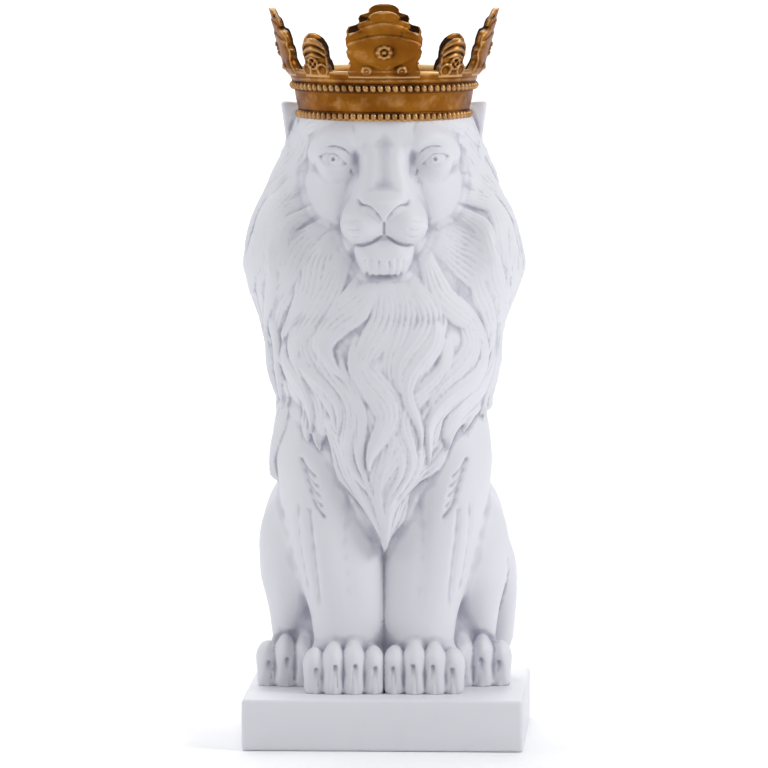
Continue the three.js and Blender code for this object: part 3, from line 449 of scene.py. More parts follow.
def rim_roots():
    """A row of locks that starts at the face's edge, and one under the chin."""
    heights = [height for height, _ in FACE_EDGE][::-1]
    widths = [width for _, width in FACE_EDGE][::-1]
    z = np.arange(205, 262, 6.5)
    x = np.interp(z, heights, widths) + 1
    chin_x = np.array([-11.5, -6, 0, 6, 11.5])
    x = np.concatenate([x, -x, chin_x])
    z = np.concatenate([z, z, np.full(len(chin_x), 193.0)])
    y = np.full(len(x), -75.0)
    for _ in range(40):
        y = y + mane.at(x, y, z) * 0.7
    return np.stack([x, y, z], 1)


def lock_roots():
    """Where the locks start: along the face's edge, then spread over the mane, no two near each other."""
    tries, apart_along, apart_across = 7000, 25, 8
    draws = Chance(11).draw(tries, 2)
    angle, z = draws[:, 0] * 2 * math.pi, 66 + draws[:, 1] * 206
    r = np.full(tries, 90.0)
    for _ in range(40):
        r = r - mane.at(r * np.sin(angle), -r * np.cos(angle), z) * 0.8
    points = np.stack([r * np.sin(angle), -r * np.cos(angle), z], 1)
    keep = (np.abs(at_points(mane, points)) < 0.5) & (r > 4) & (r < 85)
    keep &= (at_points(head, points) > 0.2) & (at_points(ear, points) > 0.4)
    keep &= at_points(body, points) > -0.5
    rim = rim_roots()
    points = np.concatenate([rim, points[keep]])
    flow = flow_at(points, slope_of(mane, points))
    taken = list(range(len(rim)))
    for i in range(len(rim), len(points)):
        away = points[taken] - points[i]
        run = away @ flow[i]
        off = (away * away).sum(1) - run * run
        if (run * run / apart_along**2 + off / apart_across**2 >= 1).all():
            taken.append(i)
    return points[taken]


def traced(points, length, wave, span, late):
    """Tracks over the surface from these points, with the normals beside them."""
    steps = 24
    points = settled(coat, points, 3)
    normals = slope_of(coat, points)
    track, beside = [points], [normals]
    for k in range(steps):
        turn = wave * np.sin(2 * math.pi * points[:, 2] / span + late) * min(1, 0.3 + 2 * (k + 0.5) / steps)
        turn = turn * np.clip((points[:, 2] - 60) / 70, 0.25, 1)
        run = flow_at(points, normals)
        way = run * np.cos(turn)[:, None] + np.cross(normals, run) * np.sin(turn)[:, None]
        points = settled(coat, points + way * (length / steps)[:, None], 1)
        normals = slope_of(coat, points)
        track.append(points)
        beside.append(normals)
    return np.stack(track, 1), np.stack(beside, 1)


def share_on_chest(track):
    """How much of each lock lies on the chest or behind it, before it runs out over a foreleg."""
    x, y, z = np.moveaxis(track, 2, 0)
    out = (y < -16) & (np.abs(x) > np.interp(z, CHEST_Z, CHEST_X) + 4)
    steps = track.shape[1] - 1
    return np.where(out.any(1), out.argmax(1), steps) / steps


def combed_locks():
    """The locks' tracks with the normals beside them, half widths and heights."""
    shortest = 16
    points = lock_roots()
    u = Chance(7).draw(len(points), 6)
    reach = 50 + 26 * u[:, 0] + 14 * np.clip((215 - points[:, 2]) / 50, 0, 1)
    length = np.minimum(reach, (points[:, 2] - hem_at(points)) * 1.06 + 10 * (u[:, 5] - 0.3))
    length = np.maximum(length, 1)
    wave, span = 0.42 + 0.4 * u[:, 4], 56 + 8 * u[:, 5]
    late = 0.045 * points[:, 0] + (u[:, 3] - 0.5) * 1.1
    length = length * share_on_chest(traced(points, length, wave, span, late)[0])
    keep = length > shortest
    points, u, length, wave, span, late = (part[keep] for part in (points, u, length, wave, span, late))
    half = (5.2 + 4.4 * u[:, 1]) * np.minimum(1, length / 40)
    height = (2.6 + 2.4 * u[:, 2]) * np.minimum(1, length / 36)
    beside_face = np.abs(at_points(head, points)) < 6
    height = height * np.where(beside_face, 0.7, 1)
    return *traced(points, length, wave, span, late), half, height


STRAND_DEPTH = 0.45
STRAND_APART = 2.7


def hair_rise(points, normals, locks):
    """How far the hair rises. A lock starts from the skin, is domed, higher on one side and grooved along
    its strands, grows toward its tip and lies over the next."""
    rise = np.zeros(len(points))
    order = np.argsort(points[:, 2])
    heights = points[order, 2]
    for number, (track, beside, half, height) in enumerate(zip(*locks)):
        steps = len(track) - 1
        low, high = track.min(0) - half, track.max(0) + half
        first, last = np.searchsorted(heights, [low[2], high[2]])
        ids = order[first:last]
        ids = ids[((points[ids] > low) & (points[ids] < high)).all(1)]
        if len(ids) == 0:
            continue
        near = np.full(len(ids), np.inf)
        share = np.zeros(len(ids))
        across = np.zeros(len(ids))
        for k in range(steps):
            edge = track[k + 1] - track[k]
            from_start = points[ids] - track[k]
            t = np.clip(from_start @ edge / (edge @ edge), 0, 1)
            off = from_start - t[:, None] * edge
            square = (off * off).sum(1)
            closer = square < near
            near[closer] = square[closer]
            share[closer] = (k + t[closer]) / steps
            across[closer] = off[closer] @ unit_of(np.cross(beside[k], edge))
        width = half * np.minimum(1, 0.5 + share * 2) * np.clip((1 - share) / 0.5, 0, 1) ** 0.75
        width = np.maximum(width, 0.05)
        ratio = np.sqrt(near) / width
        above = (normals[ids] * beside[np.minimum((share * steps).astype(int), steps)]).sum(1)
        facing = np.clip((above - 0.1) / 0.5, 0, 1) * (ratio < 1)
        dome = np.sqrt(np.clip(1 - ratio * ratio, 0, 1))
        side = across / width * (1 if number % 2 else -1)
        strands = round(2 * half / STRAND_APART)
        ends = np.clip(share * 5, 0, 1) * np.clip((1 - share) * 4, 0, 1)
        groove = (1 - np.abs(np.sin(math.pi * (side + 1) / 2 * strands))) ** 2 * ends
        shape = (0.12 + 0.88 * dome) * (0.78 + 0.22 * side)
        growth = (0.45 + 0.55 * share) * np.clip(share * 7 + 0.2, 0, 1)
        lock = (height * growth * shape - STRAND_DEPTH * groove) * facing
        rise[ids] = np.maximum(rise[ids], lock)
    return rise


def hair_shares(points):
    """How much each point takes of the hair's rise, none on the face and ears, and of the skin's sinking."""
    skin = at_points(mane, points)
    beside = np.minimum(at_points(head, points), at_points(ear, points))
    below_crown = np.clip((268 - points[:, 2]) / 3, 0, 1)
    rising = np.clip((beside - skin) / 2.5 + 0.1, 0, 1) * below_crown
    sinking = np.clip((np.minimum(beside, at_points(body, points)) - skin) / 4 + 0.1, 0, 1) * below_crown
    return rising, sinking


# Lines cut into the face: x and z of their points, seen from the front, with half width and depth
FACE_LINES = [
    ([(12.2, 231.2), (10.9, 228.4), (7.8, 227.5), (5.4, 225.8), (3.1, 223.2), (0.2, 220.2)], 0.8, 1.3),
    ([(0, 221), (0, 217), (0, 213.6)], 0.7, 0.6),
    ([(0, 214), (4.2, 211.2), (7.8, 209.6), (11.2, 208.8), (14.4, 208.9)], 0.7, 1.0),
    (
        [(13.2, 246), (13.8, 242.6), (17.2, 235.2), (20, 224.2), (19.6, 218), (17.2, 211.9), (14.4, 208.4)],
        1.6, 0.55,
    ),
    ([(17.4, 246.4), (15.6, 243.4), (14.6, 239.6)], 0.8, 0.8),
    ([(31.8, 249.4), (28.4, 252.6), (22.8, 254.2), (17.6, 251.8), (15.2, 246.6)], 0.7, 0.55),
    ([(0, 276), (0, 262), (0, 252), (0, 240), (0, 230)], 6.4, 1.0),
    ([(14.5, 268), (13.8, 258), (12.8, 246), (13, 238)], 1.6, 0.35),
    ([(10.5, 217.0), (14.5, 216.2), (19.6, 216.6)], 0.5, 0.5),
    ([(10.5, 213.2), (14.6, 212.6), (18.6, 213.6)], 0.5, 0.5),
    ([(11.5, 220.8), (15.6, 220.0), (19.8, 220.4)], 0.5, 0.45),
    ([(2.2, 202.6), (2.6, 198.6), (1.8, 193)], 0.8, 0.6),
    ([(5.8, 204), (5.6, 198.8), (4.6, 193)], 0.7, 0.45),
    ([(9.4, 203.4), (8.6, 199), (7.4, 194)], 0.9, 0.7),
]


def elbow_strokes():
    """Five short strokes of hair below each elbow."""
    apart = 4.6
    strokes = []
    for i in range(5):
        low = apart * i
        knots = [(39 - 1.3 * i, 110 - low), (36 - 1.3 * i, 104.5 - low), (30.6 - i, 99 - low)]
        strokes.append((knots, 0.95, 1.2))
    return strokes


# Lines cut into the tail's tuft and the forelegs
TAIL_LINES = [
    ([(47, 79), (50, 70), (54.5, 64), (56, 58)], 0.9, 1.4),
    ([(50.5, 80), (53, 73), (57, 69)], 0.8, 1.2),
    ([(47.5, 66), (51, 59), (55.5, 54), (58, 50)], 0.9, 1.4),
    ([(49, 54), (52.5, 48), (57, 45)], 0.9, 1.2),
]
LEG_LINES = [
    ([(35, 88), (33.6, 74), (31.6, 56), (30, 38)], 1.5, 0.9),
    ([(40, 92), (39.6, 74), (37.2, 56), (34.2, 42)], 1.2, 0.6),
    ([(16, 96), (18, 74), (17, 54), (14, 34)], 3.4, 0.5),
    *elbow_strokes(),
]


def line_depth(points, knots, half_width, depth):
    """How deep a line drawn on the front cuts at each point; it fades at its ends."""
    line = np.array(curve(knots, 6))
    flat = np.stack([np.abs(points[:, 0]), points[:, 2]], 1)
    near = np.full(len(flat), np.inf)
    share = np.zeros(len(flat))
    for k in range(len(line) - 1):
        edge = line[k + 1] - line[k]
        from_start = flat - line[k]
        t = np.clip(from_start @ edge / (edge @ edge), 0, 1)
        square = ((from_start - t[:, None] * edge) ** 2).sum(1)
        closer = square < near
        near[closer] = square[closer]
        share[closer] = (k + t[closer]) / (len(line) - 1)
    fade = np.clip(np.minimum(share, 1 - share) * 5, 0, 1)
    return depth * np.exp(-near / half_width**2) * fade


def cut_depth(points, normals, lines, form):
    """The depth of the lines on the front of a form, where nothing covers it."""
    depth = np.zeros(len(points))
    heights = [knot[1] for knots, _, _ in lines for knot in knots]
    near = (normals[:, 1] < -0.1) & (points[:, 2] > min(heights) - 4) & (points[:, 2] < max(heights) + 4)
    near &= at_points(form, points) < 0.8
    for knots, half_width, cut in lines:
        depth[near] = np.maximum(depth[near], line_depth(points[near], knots, half_width, cut))
    return depth


# The net over a form


def grid_lines(start, end, wide, fine_start, fine_end, fine):
    lines = [start]
    while lines[-1] < end:
        lines.append(lines[-1] + (fine if fine_start <= lines[-1] < fine_end else wide))
    return np.array(lines)


def sampled(form, lines):
    """The form's distances at the grid's points; only those near the surface are exact."""
    block = 4
    shape = tuple(len(line) for line in lines)
    coarse_ids = [np.unique(np.r_[0:count:block, count - 1]) for count in shape]
    coarse_grid = np.meshgrid(*[line[ids] for line, ids in zip(lines, coarse_ids)], indexing="ij")
    coarse = form.at(*(part.ravel() for part in coarse_grid)).reshape(coarse_grid[0].shape)
    nearest = [
        np.abs(np.subtract.outer(np.arange(count), ids)).argmin(1) for count, ids in zip(shape, coarse_ids)
    ]
    field = coarse[np.ix_(*nearest)].astype(np.float32).ravel()
    reach = block * max(np.diff(line).max() for line in lines) * 1.3
    near = np.flatnonzero(np.abs(field) < reach)
    for part in np.array_split(near, max(1, len(near) // 400000)):
        i, j, k = np.unravel_index(part, shape)
        field[part] = form.at(lines[0][i], lines[1][j], lines[2][k])
    return field.reshape(shape)


def netted(form, lines):
    """The surface where the distance is zero: one point in each cell it crosses, joined by quads."""
    field = sampled(form, lines)
    shape = field.shape
    inside = field < 0
    corners = [(i, j, k) for i in (0, 1) for j in (0, 1) for k in (0, 1)]
    cells_shape = tuple(count - 1 for count in shape)
    full = np.zeros(cells_shape, np.int8)
    for i, j, k in corners:
        full += inside[i : shape[0] - 1 + i, j : shape[1] - 1 + j, k : shape[2] - 1 + k]
    cells = np.flatnonzero((full.ravel() > 0) & (full.ravel() < 8))
    number = np.full(full.size, -1, np.int32)
    number[cells] = np.arange(len(cells))
    number = number.reshape(cells_shape)
    base = np.unravel_index(cells, cells_shape)
    values, places = {}, {}
    for corner in corners:
        at = [part + shift for part, shift in zip(base, corner)]
        values[corner] = field[tuple(at)]
        places[corner] = np.stack([line[ids] for line, ids in zip(lines, at)], 1)
    points = np.zeros((len(cells), 3))
    crossings = np.zeros(len(cells))
    for low in corners:
        for axis in range(3):
            if low[axis]:
                continue
            high = tuple(part + (i == axis) for i, part in enumerate(low))
            a, b = values[low], values[high]
            crossed = (a < 0) != (b < 0)
            t = np.where(crossed, a / np.where(crossed, a - b, 1), 0)[:, None]
            points += np.where(crossed[:, None], places[low] * (1 - t) + places[high] * t, 0)
            crossings += crossed
    points /= crossings[:, None]
    quads = []
    for axis in range(3):
        u, v = (axis + 1) % 3, (axis + 2) % 3
        near_end = [slice(1, count - 1) for count in shape]
        far_end = list(near_end)
        near_end[axis] = slice(0, shape[axis] - 1)
        far_end[axis] = slice(1, shape[axis])
        here, beyond = inside[tuple(near_end)], inside[tuple(far_end)]
        for outward in (True, False):
            edge = list(np.nonzero(here & ~beyond if outward else ~here & beyond))
            edge[u] = edge[u] + 1
            edge[v] = edge[v] + 1
            ring = []
            for du, dv in ((1, 1), (0, 1), (0, 0), (1, 0)):
                cell = list(edge)
                cell[u] = cell[u] - du
                cell[v] = cell[v] - dv
                ring.append(number[tuple(cell)])
            ring = np.stack(ring, 1)
            quads.append(ring if outward else ring[:, ::-1])
    return points, np.concatenate(quads)


def normals_of(points, quads):
    a, b, c, d = (points[quads[:, i]] for i in range(4))
    face = np.cross(c - a, d - b)
    normals = np.zeros_like(points)
    for i in range(4):
        for axis in range(3):
            normals[:, axis] += np.bincount(quads[:, i], face[:, axis], len(points))
    return unit_of(normals)


def eased(points, quads, share):
    """Each point moved by its share of the way to the middle of its neighbours."""
    starts = quads.ravel()
    ends = np.roll(quads, -1, axis=1).ravel()
    starts, ends = np.concatenate([starts, ends]), np.concatenate([ends, starts])
    count = np.maximum(np.bincount(starts, minlength=len(points)), 1)
    sums = [np.bincount(starts, points[ends, axis], len(points)) for axis in range(3)]
    middle = np.stack(sums, 1) / count[:, None]
    return points + (middle - points) * share[:, None]


# Meshes


def in_row_frame(points):
    """Points of the lion or its crown, in millimetres over the plinth's top, to metres in the frame."""
    turn = math.radians(LION_TURN)
    scale = LION_HEIGHT / FIGURE_HEIGHT
    x, y, z = (points * scale).T
    out = np.stack(
        [
            x * math.cos(turn) - y * math.sin(turn) + LION_SHIFT,
            x * math.sin(turn) + y * math.cos(turn),
            z + PLINTH_HEIGHT,
        ],
        1,
    )
    return out * MM


def mesh_of(name, points, faces, smooth=True):
    mesh = bpy.data.meshes.new(name)
    mesh.from_pydata(points.tolist(), [], faces.tolist() if isinstance(faces, np.ndarray) else faces)
    mesh.polygons.foreach_set("use_smooth", [smooth] * len(mesh.polygons))
    mesh.update()
    return mesh


def piece(name, mesh, material):
    made = bpy.data.objects.new(name, mesh)
    bpy.context.collection.objects.link(made)
    mesh.materials.clear()
    mesh.materials.append(material)
    return made


def applied(made):
    """Its modifiers made part of the mesh."""
    bpy.context.view_layer.update()
    graph = bpy.context.evaluated_depsgraph_get()
    mesh = bpy.data.meshes.new_from_object(made.evaluated_get(graph))
    made.modifiers.clear()
    old = made.data
    made.data = mesh
    bpy.data.meshes.remove(old)
    mesh.name = made.name
    return made


def mark_hollows(mesh, rounds, depth, hidden=0):
    """Stores on each point how deep it lies under the surface around it: 0 on crests, 1 in grooves and where
    it is hidden from the light. The materials paint shade from it into grooves and hidden places."""
    count = len(mesh.vertices)
    points = np.empty(3 * count)
    mesh.vertices.foreach_get("co", points)
    points = points.reshape(-1, 3)
    normals = np.empty(3 * count)
    mesh.vertices.foreach_get("normal", normals)
    ends = np.empty(2 * len(mesh.edges), np.int32)
    mesh.edges.foreach_get("vertices", ends)
    ends = ends.reshape(-1, 2)
    ends = np.concatenate([ends, ends[:, ::-1]])
    share = 1 / np.maximum(np.bincount(ends[:, 0], minlength=count), 1)
    mean = points
    for _ in range(rounds):
        sums = [np.bincount(ends[:, 0], mean[ends[:, 1], axis], count) for axis in range(3)]
        mean = np.stack(sums, 1) * share[:, None]
    sunk = ((mean - points) * normals.reshape(-1, 3)).sum(1) / MM
    mark = mesh.attributes.new("hollow", "FLOAT", "POINT")
    mark.data.foreach_set("value", np.clip(0.5 + sunk / (2 * depth) + hidden, 0, 1).astype(np.float32))


# Materials


class Wire:
    """A shader socket that takes part in sums and products; each adds its Math node."""

    def __init__(self, tree, socket):
        self.tree = tree
        self.socket = socket

    def math(self, operation, first, second=0.0):
        return node(self.tree, "ShaderNodeMath", {"operation": operation}, {0: first, 1: second})

    def __add__(self, other):
        return self.math("ADD", self, other)

    def __radd__(self, other):
        return self.math("ADD", other, self)

    def __sub__(self, other):
        return self.math("SUBTRACT", self, other)

    def __rsub__(self, other):
        return self.math("SUBTRACT", other, self)

    def __mul__(self, other):
        return self.math("MULTIPLY", self, other)

    def __rmul__(self, other):
        return self.math("MULTIPLY", other, self)

    def clamped(self):
        return self.math("MINIMUM", self.math("MAXIMUM", self, 0.0), 1.0)


def node(tree, kind, settings, inputs, output=0):
    """Adds a node: its settings first, then the values or links of its sockets. Returns one output."""
    made = tree.nodes.new(kind)
    for name, value in settings.items():
        setattr(made, name, value)
    for key, value in inputs.items():
        if isinstance(value, Wire):
            tree.links.new(value.socket, made.inputs[key])
        else:
            made.inputs[key].default_value = value
    return Wire(tree, made.outputs[output])


def mixed_colour(tree, share, first, second):
    return node(tree, "ShaderNodeMix", {"data_type": "RGBA"}, {0: share, 6: first, 7: second}, 2)


def finish_of(name, **constants):
    """A material with a Principled shader; returns it with its tree and shader node."""
    material = bpy.data.materials.new(name)
    material.use_nodes = True
    tree = material.node_tree
    shader = tree.nodes["Principled BSDF"]
    for socket, value in constants.items():
        shader.inputs[socket.replace("_", " ")].default_value = value
    return material, tree, shader


def object_noise(tree, scale, detail):
    place = node(tree, "ShaderNodeTexCoord", {}, {}, "Object")
    return node(tree, "ShaderNodeTexNoise", {}, {"Vector": place, "Scale": scale, "Detail": detail})


def white_resin():
    material, tree, shader = finish_of("white_resin", Metallic=0.0, Roughness=0.5)
    hollow = node(tree, "ShaderNodeAttribute", {"attribute_name": "hollow"}, {}, "Fac")
    # Painted shade: the resin's white darkens to a blue-grey in grooves and hollows, by how sunk each point
    # is.
    shade = ((hollow - 0.5) * 2.2 + (object_noise(tree, 60, 3) - 0.5) * 0.12).clamped()
    white, painted_groove_shade = (0.72, 0.72, 0.76, 1), (0.36, 0.36, 0.43, 1)
    colour = mixed_colour(tree, shade, white, painted_groove_shade)
    tree.links.new(colour.socket, shader.inputs["Base Color"])
    relief = object_noise(tree, 900, 2)
    bump = node(tree, "ShaderNodeBump", {}, {"Height": relief, "Strength": 0.08, "Distance": 0.0003})
    tree.links.new(bump.socket, shader.inputs["Normal"])
    return material


def gold_bronze():
    material, tree, shader = finish_of("gold_bronze", Metallic=0.95)
    hollow = node(tree, "ShaderNodeAttribute", {"attribute_name": "hollow"}, {}, "Fac")
    cloud, grain = object_noise(tree, 70, 5), object_noise(tree, 260, 3)
    worn = ((0.40 - hollow) * 3.2 + (cloud - 0.5) * 1.5 + (grain - 0.5) * 1.2).clamped()
    # Painted shade mixed with a dark brown antique wash: the gold goes almost black in recesses, on the
    # band's inside, on the leaves' backs and in the gaps between beads.
    deep = ((hollow - 0.56) * 4.0 + (0.5 - cloud) * 1.2).clamped()
    dark_bronze, bright_bronze = (0.16, 0.045, 0.003, 1), (0.36, 0.135, 0.012, 1)
    brown_wash_and_painted_shade, worn_gold = (0.03, 0.012, 0.004, 1), (0.80, 0.52, 0.24, 1)
    base = mixed_colour(tree, ((cloud - 0.5) * 2.2 + 0.5).clamped(), dark_bronze, bright_bronze)
    base = mixed_colour(tree, deep, base, brown_wash_and_painted_shade)
    base = mixed_colour(tree, worn * 0.55, base, worn_gold)
    tree.links.new(base.socket, shader.inputs["Base Color"])
    rough = 0.3 + cloud * 0.2 + deep * 0.25
    tree.links.new(rough.socket, shader.inputs["Roughness"])
    bump = node(tree, "ShaderNodeBump", {}, {"Height": grain, "Strength": 0.25, "Distance": 0.0005})
    tree.links.new(bump.socket, shader.inputs["Normal"])
    return material


RESIN = white_resin()
GOLD = gold_bronze()


# The plinth


def make_plinth():
    half = np.array([PLINTH_WIDTH, PLINTH_DEPTH, PLINTH_HEIGHT]) / 2
    signs = np.array([(i, j, k) for i in (-1, 1) for j in (-1, 1) for k in (-1, 1)])
    corners = signs * half + (0, 0, half[2])
    faces = [(0, 1, 3, 2), (4, 6, 7, 5), (0, 4, 5, 1), (2, 3, 7, 6), (0, 2, 6, 4), (1, 5, 7, 3)]
    plinth = piece("plinth_block", mesh_of("plinth_block", corners * MM, faces, False), RESIN)
    edge = plinth.modifiers.new("edge", "BEVEL")
    edge.width = PLINTH_EDGE * MM
    edge.segments = 4
    applied(plinth)
    plinth.data.polygons.foreach_set("use_smooth", [True] * len(plinth.data.polygons))
    plinth.data.set_sharp_from_angle(angle=math.radians(35))
    mark = plinth.data.attributes.new("hollow", "FLOAT", "POINT")
    mark.data.foreach_set("value", [0.5] * len(plinth.data.vertices))
    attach(plinth, "root")
    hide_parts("plinth")


make_plinth()


# The lion

LION_TRIANGLES = 195000
SKIN_SINK = 1.6
EASING = 0.6


def make_lion():
    lines = [
        grid_lines(-70, 70, 0.9, -35, 35, 0.6),
        grid_lines(-64, 72, 1.0, -62, -24, 0.6),
        grid_lines(-8, 280, 0.9, 192, 266, 0.6),
    ]
    points, quads = netted(figure, lines)
    normals = normals_of(points, quads)
    rise = hair_rise(points, normals, combed_locks())
    rising, sinking = hair_shares(points)
    carved = cut_depth(points, normals, FACE_LINES, head) + cut_depth(points, normals, LEG_LINES, body)
    carved = carved + cut_depth(points, normals, TAIL_LINES, tail)
    points = points + normals * (rise * rising - SKIN_SINK * sinking - carved)[:, None]
    points = eased(points, quads, EASING * rising)
    points[:, 2] = np.maximum(points[:, 2], 0)
    lion = piece("lion_figure", mesh_of("lion_figure", in_row_frame(points), quads), RESIN)
    fewer = lion.modifiers.new("fewer", "DECIMATE")
    fewer.ratio = LION_TRIANGLES / (2 * len(quads))
    fewer.use_collapse_triangulate = True
    applied(lion)
    # How sunk each point is, which the resin paints as shade in its grooves.
    mark_hollows(lion.data, 6, 0.5)
    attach(lion, "root")
    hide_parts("lion")


make_lion()


# The crown, with its foot at z = 0 and its axis at the origin


def ring_outer(z):
    return CROWN_RADIUS + RING_FLARE * np.maximum(z / RING_HEIGHT, 0) ** 1.6


CORD_HEIGHTS = (CORD_RADIUS, 0.66 * RING_HEIGHT)


def in_crown_place(points):
    return in_row_frame(points + (0, CROWN_BACK, LION_HEIGHT))


def bump(distance, half_width, height):
    return height * np.exp(-((distance / half_width) ** 2))


def closed_grid(rows, columns, first):
    """Quads over a grid of points that starts at number first, with its last column joined to its first."""
    cell = np.arange(rows * columns).reshape(rows, columns) + first
    right = np.roll(cell, -1, axis=1)
    quads = np.stack([cell[:-1], right[:-1], right[1:], cell[1:]], -1)
    return quads.reshape(-1, 4)


def crown_ring():
    """A turned band: a moulded outside, a rolled rim and a plain inside."""
    turns = 180
    z = np.linspace(0, RING_HEIGHT, 56)
    outside = ring_outer(z)
    for height in CORD_HEIGHTS:
        outside = outside + 0.5 * np.sqrt(np.clip(1 - ((z - height) / CORD_RADIUS) ** 2, 0, 1))
    outside = outside + bump(z - 9, 3.2, 0.35) + bump(z - 18.6, 0.8, 0.25)
    outside = outside - 0.9 * np.clip((z - RING_HEIGHT + 1.2) / 1.2, 0, 1) ** 2
    inner_z = np.array([RING_HEIGHT, RING_HEIGHT - 0.6, 16, 9, 0.5, 0])
    inside = ring_outer(inner_z) - CROWN_WALL + np.array([0.9, 0, 0, 0, 0, 0.5])
    r = np.concatenate([outside, inside])
    z = np.concatenate([z, inner_z])
    turn = np.arange(turns) * 2 * math.pi / turns
    points = np.stack(
        [np.outer(r, np.sin(turn)), -np.outer(r, np.cos(turn)), np.outer(z, np.ones(turns))], -1
    ).reshape(-1, 3)
    quads = closed_grid(len(r), turns, 0)
    last = (len(r) - 1) * turns
    around = np.arange(turns)
    foot = np.stack([last + around, last + np.roll(around, -1), np.roll(around, -1), around], 1)
    return points, np.concatenate([quads, foot])


# A leaf's outline: height over the rim and half width there
GREAT_OUTLINE = [
    (-3, 17.2), (0, 17), (2.2, 15.6), (4.2, 15.0), (6.4, 16.4), (9.2, 16.9), (10.6, 15.9),
    (12.4, 16.6), (15.4, 16.6), (17.6, 15.6), (18.3, 12.2), (19.2, 10.6), (21.2, 11.0), (22.8, 10.2),
    (23.5, 8.2), (24.0, 6.4), (25.6, 6.3), (26.8, 5.0), (27.6, 3.4), (28, 1.6),
]
SMALL_OUTLINE = [
    (-3, 8), (0, 8), (2, 7.6), (3.4, 6.6), (5.5, 6.9), (8, 7.2),
    (10.6, 6.6), (12.6, 5.2), (14, 3.2), (15, 1.2),
]


def great_relief(x, z, share):
    """Three tiers, each before the next, flutes that fan from a rosette, and a scroll on each side."""
    side = np.abs(x)
    rise = np.zeros_like(x)
    for foot, drop in ((17.4, 0.05), (23.3, 0.08)):
        rise = rise + 0.6 * np.clip((foot - drop * side**1.6 - z) / 0.8, 0, 1)
    rosette_height = 8.9
    fan = np.arctan2(side, z - rosette_height + 9)
    from_rosette = np.hypot(x, z - rosette_height)
    flutes = np.abs(np.cos(4.2 * fan)) ** 0.8 - 0.5
    rise = rise + 0.5 * flutes * np.clip((from_rosette - 4.5) / 7, 0, 1)
    rise = rise - 0.7 * np.clip((side - 0.84 * share) / (0.16 * share), 0, 1) ** 2
    rise = rise + bump(from_rosette - 2.5, 0.7, 1.0) + bump(from_rosette, 0.9, 1.1)
    rise = rise + 0.3 * np.cos(8 * np.arctan2(z - rosette_height, x)) * bump(from_rosette - 2.6, 0.9, 1)
    from_scroll = np.hypot(side - 7.8, z - 0.2)
    return rise + bump(from_scroll - 1.7, 0.6, 0.9) + bump(from_scroll, 0.7, 0.8)


def small_relief(x, z, share):
    """A petal in tiers over three small scallops and a cross."""
    side = np.abs(x)
    rise = 0.35 * np.cos(math.pi * side / 5.2) * np.clip((z - 5) / 3, 0, 1)
    rise = rise + 0.45 * np.cos(2 * math.pi * (z - 7 + 0.06 * side**2) / 3.2) * (z > 6)
    rise = rise - 0.7 * np.clip((side - 0.8 * share) / (0.2 * share), 0, 1) ** 2
    for centre, height in ((0, 3.4), (4.8, 0.4)):
        rise = rise + bump(np.hypot(side - centre, z - height) - 2.6, 0.5, 0.8) * (z < height + 3.2)
    return rise + bump(np.abs(side - np.abs(z - 3)), 0.45, 0.7) * (side < 2.4) * (np.abs(z - 3) < 2.4)


def leaf(height, angle, outline, relief, rows, columns, first):
    """A lobed leaf that follows the ring round and leans outward, its foot sunk in the ring."""
    z = np.linspace(-LEAF_SINK, height, rows)
    half = np.interp(z, [row[0] for row in outline], [row[1] for row in outline])
    across = np.sin(np.linspace(-1, 1, columns) * math.pi / 2)
    x = half[:, None] * across
    up = np.repeat(z[:, None], columns, 1)
    share = np.maximum(np.repeat(half[:, None], columns, 1), 1)
    rim = ring_outer(RING_HEIGHT)
    lean = LEAF_LEAN * up + 0.02 * np.maximum(up, 0) ** 2 / height
    thick = LEAF_WALL * (1 - 0.5 * np.clip(up / height, 0, 1))
    front = rim + lean + 0.7 * (1 - across**2) + relief(x, up, share) * np.clip((up + 2.5) / 2.5, 0, 1)
    back = rim + lean - thick + 0.25 * relief(x, up, share) * np.clip(up / 4, 0, 1)
    front[:, 0] = front[:, -1] = (rim + lean - 0.6)[:, 0]
    points = []
    for radius in (front, back[:, ::-1]):
        turn = angle + (x if radius is front else x[:, ::-1]) / rim
        points.append(np.stack([radius * np.sin(turn), -radius * np.cos(turn), up + RING_HEIGHT], -1))
    loop = np.concatenate(points, 1)
    quads = closed_grid(rows, 2 * columns, first)
    bottom = np.arange(columns)
    caps = []
    for row, flip in ((0, True), (rows - 1, False)):
        start = first + row * 2 * columns
        near = start + bottom
        far = start + 2 * columns - 1 - bottom
        cap = np.stack([near[:-1], near[1:], far[1:], far[:-1]], 1)
        caps.append(cap[:, ::-1] if flip else cap)
    return loop.reshape(-1, 3), np.concatenate([quads, *caps])


def make_crown():
    points, faces = crown_ring()
    for i in range(4):
        angle = i * math.pi / 2
        for turn, size, outline, relief, rows, columns in (
            (0, GREAT_LEAF_HEIGHT, GREAT_OUTLINE, great_relief, 84, 64),
            (math.pi / 4, SMALL_LEAF_HEIGHT, SMALL_OUTLINE, small_relief, 44, 34),
        ):
            more, quads = leaf(size, angle + turn, outline, relief, rows, columns, len(points))
            points = np.concatenate([points, more])
            faces = np.concatenate([faces, quads])
    crown = piece("gold_crown", mesh_of("gold_crown", in_crown_place(points), faces), GOLD)
    r, z = np.hypot(points[:, 0], points[:, 1]), points[:, 2]
    lean = LEAF_LEAN * np.maximum(z - RING_HEIGHT, 0)
    # Painted shade: the band's inside, the leaves' backs and the crevices beside the cords are marked as
    # hidden, so the gold is painted dark there.
    hidden = 1.0 * (r < ring_outer(np.minimum(z, RING_HEIGHT)) + lean - 0.55 * CROWN_WALL)
    for height in CORD_HEIGHTS:
        hidden = hidden + 0.55 * (z < RING_HEIGHT) * np.clip(1.4 - np.abs(z - height) / CORD_RADIUS, 0, 1)
    mark_hollows(crown.data, 6, 0.35, hidden)
    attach(crown, "root")
    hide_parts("crown")


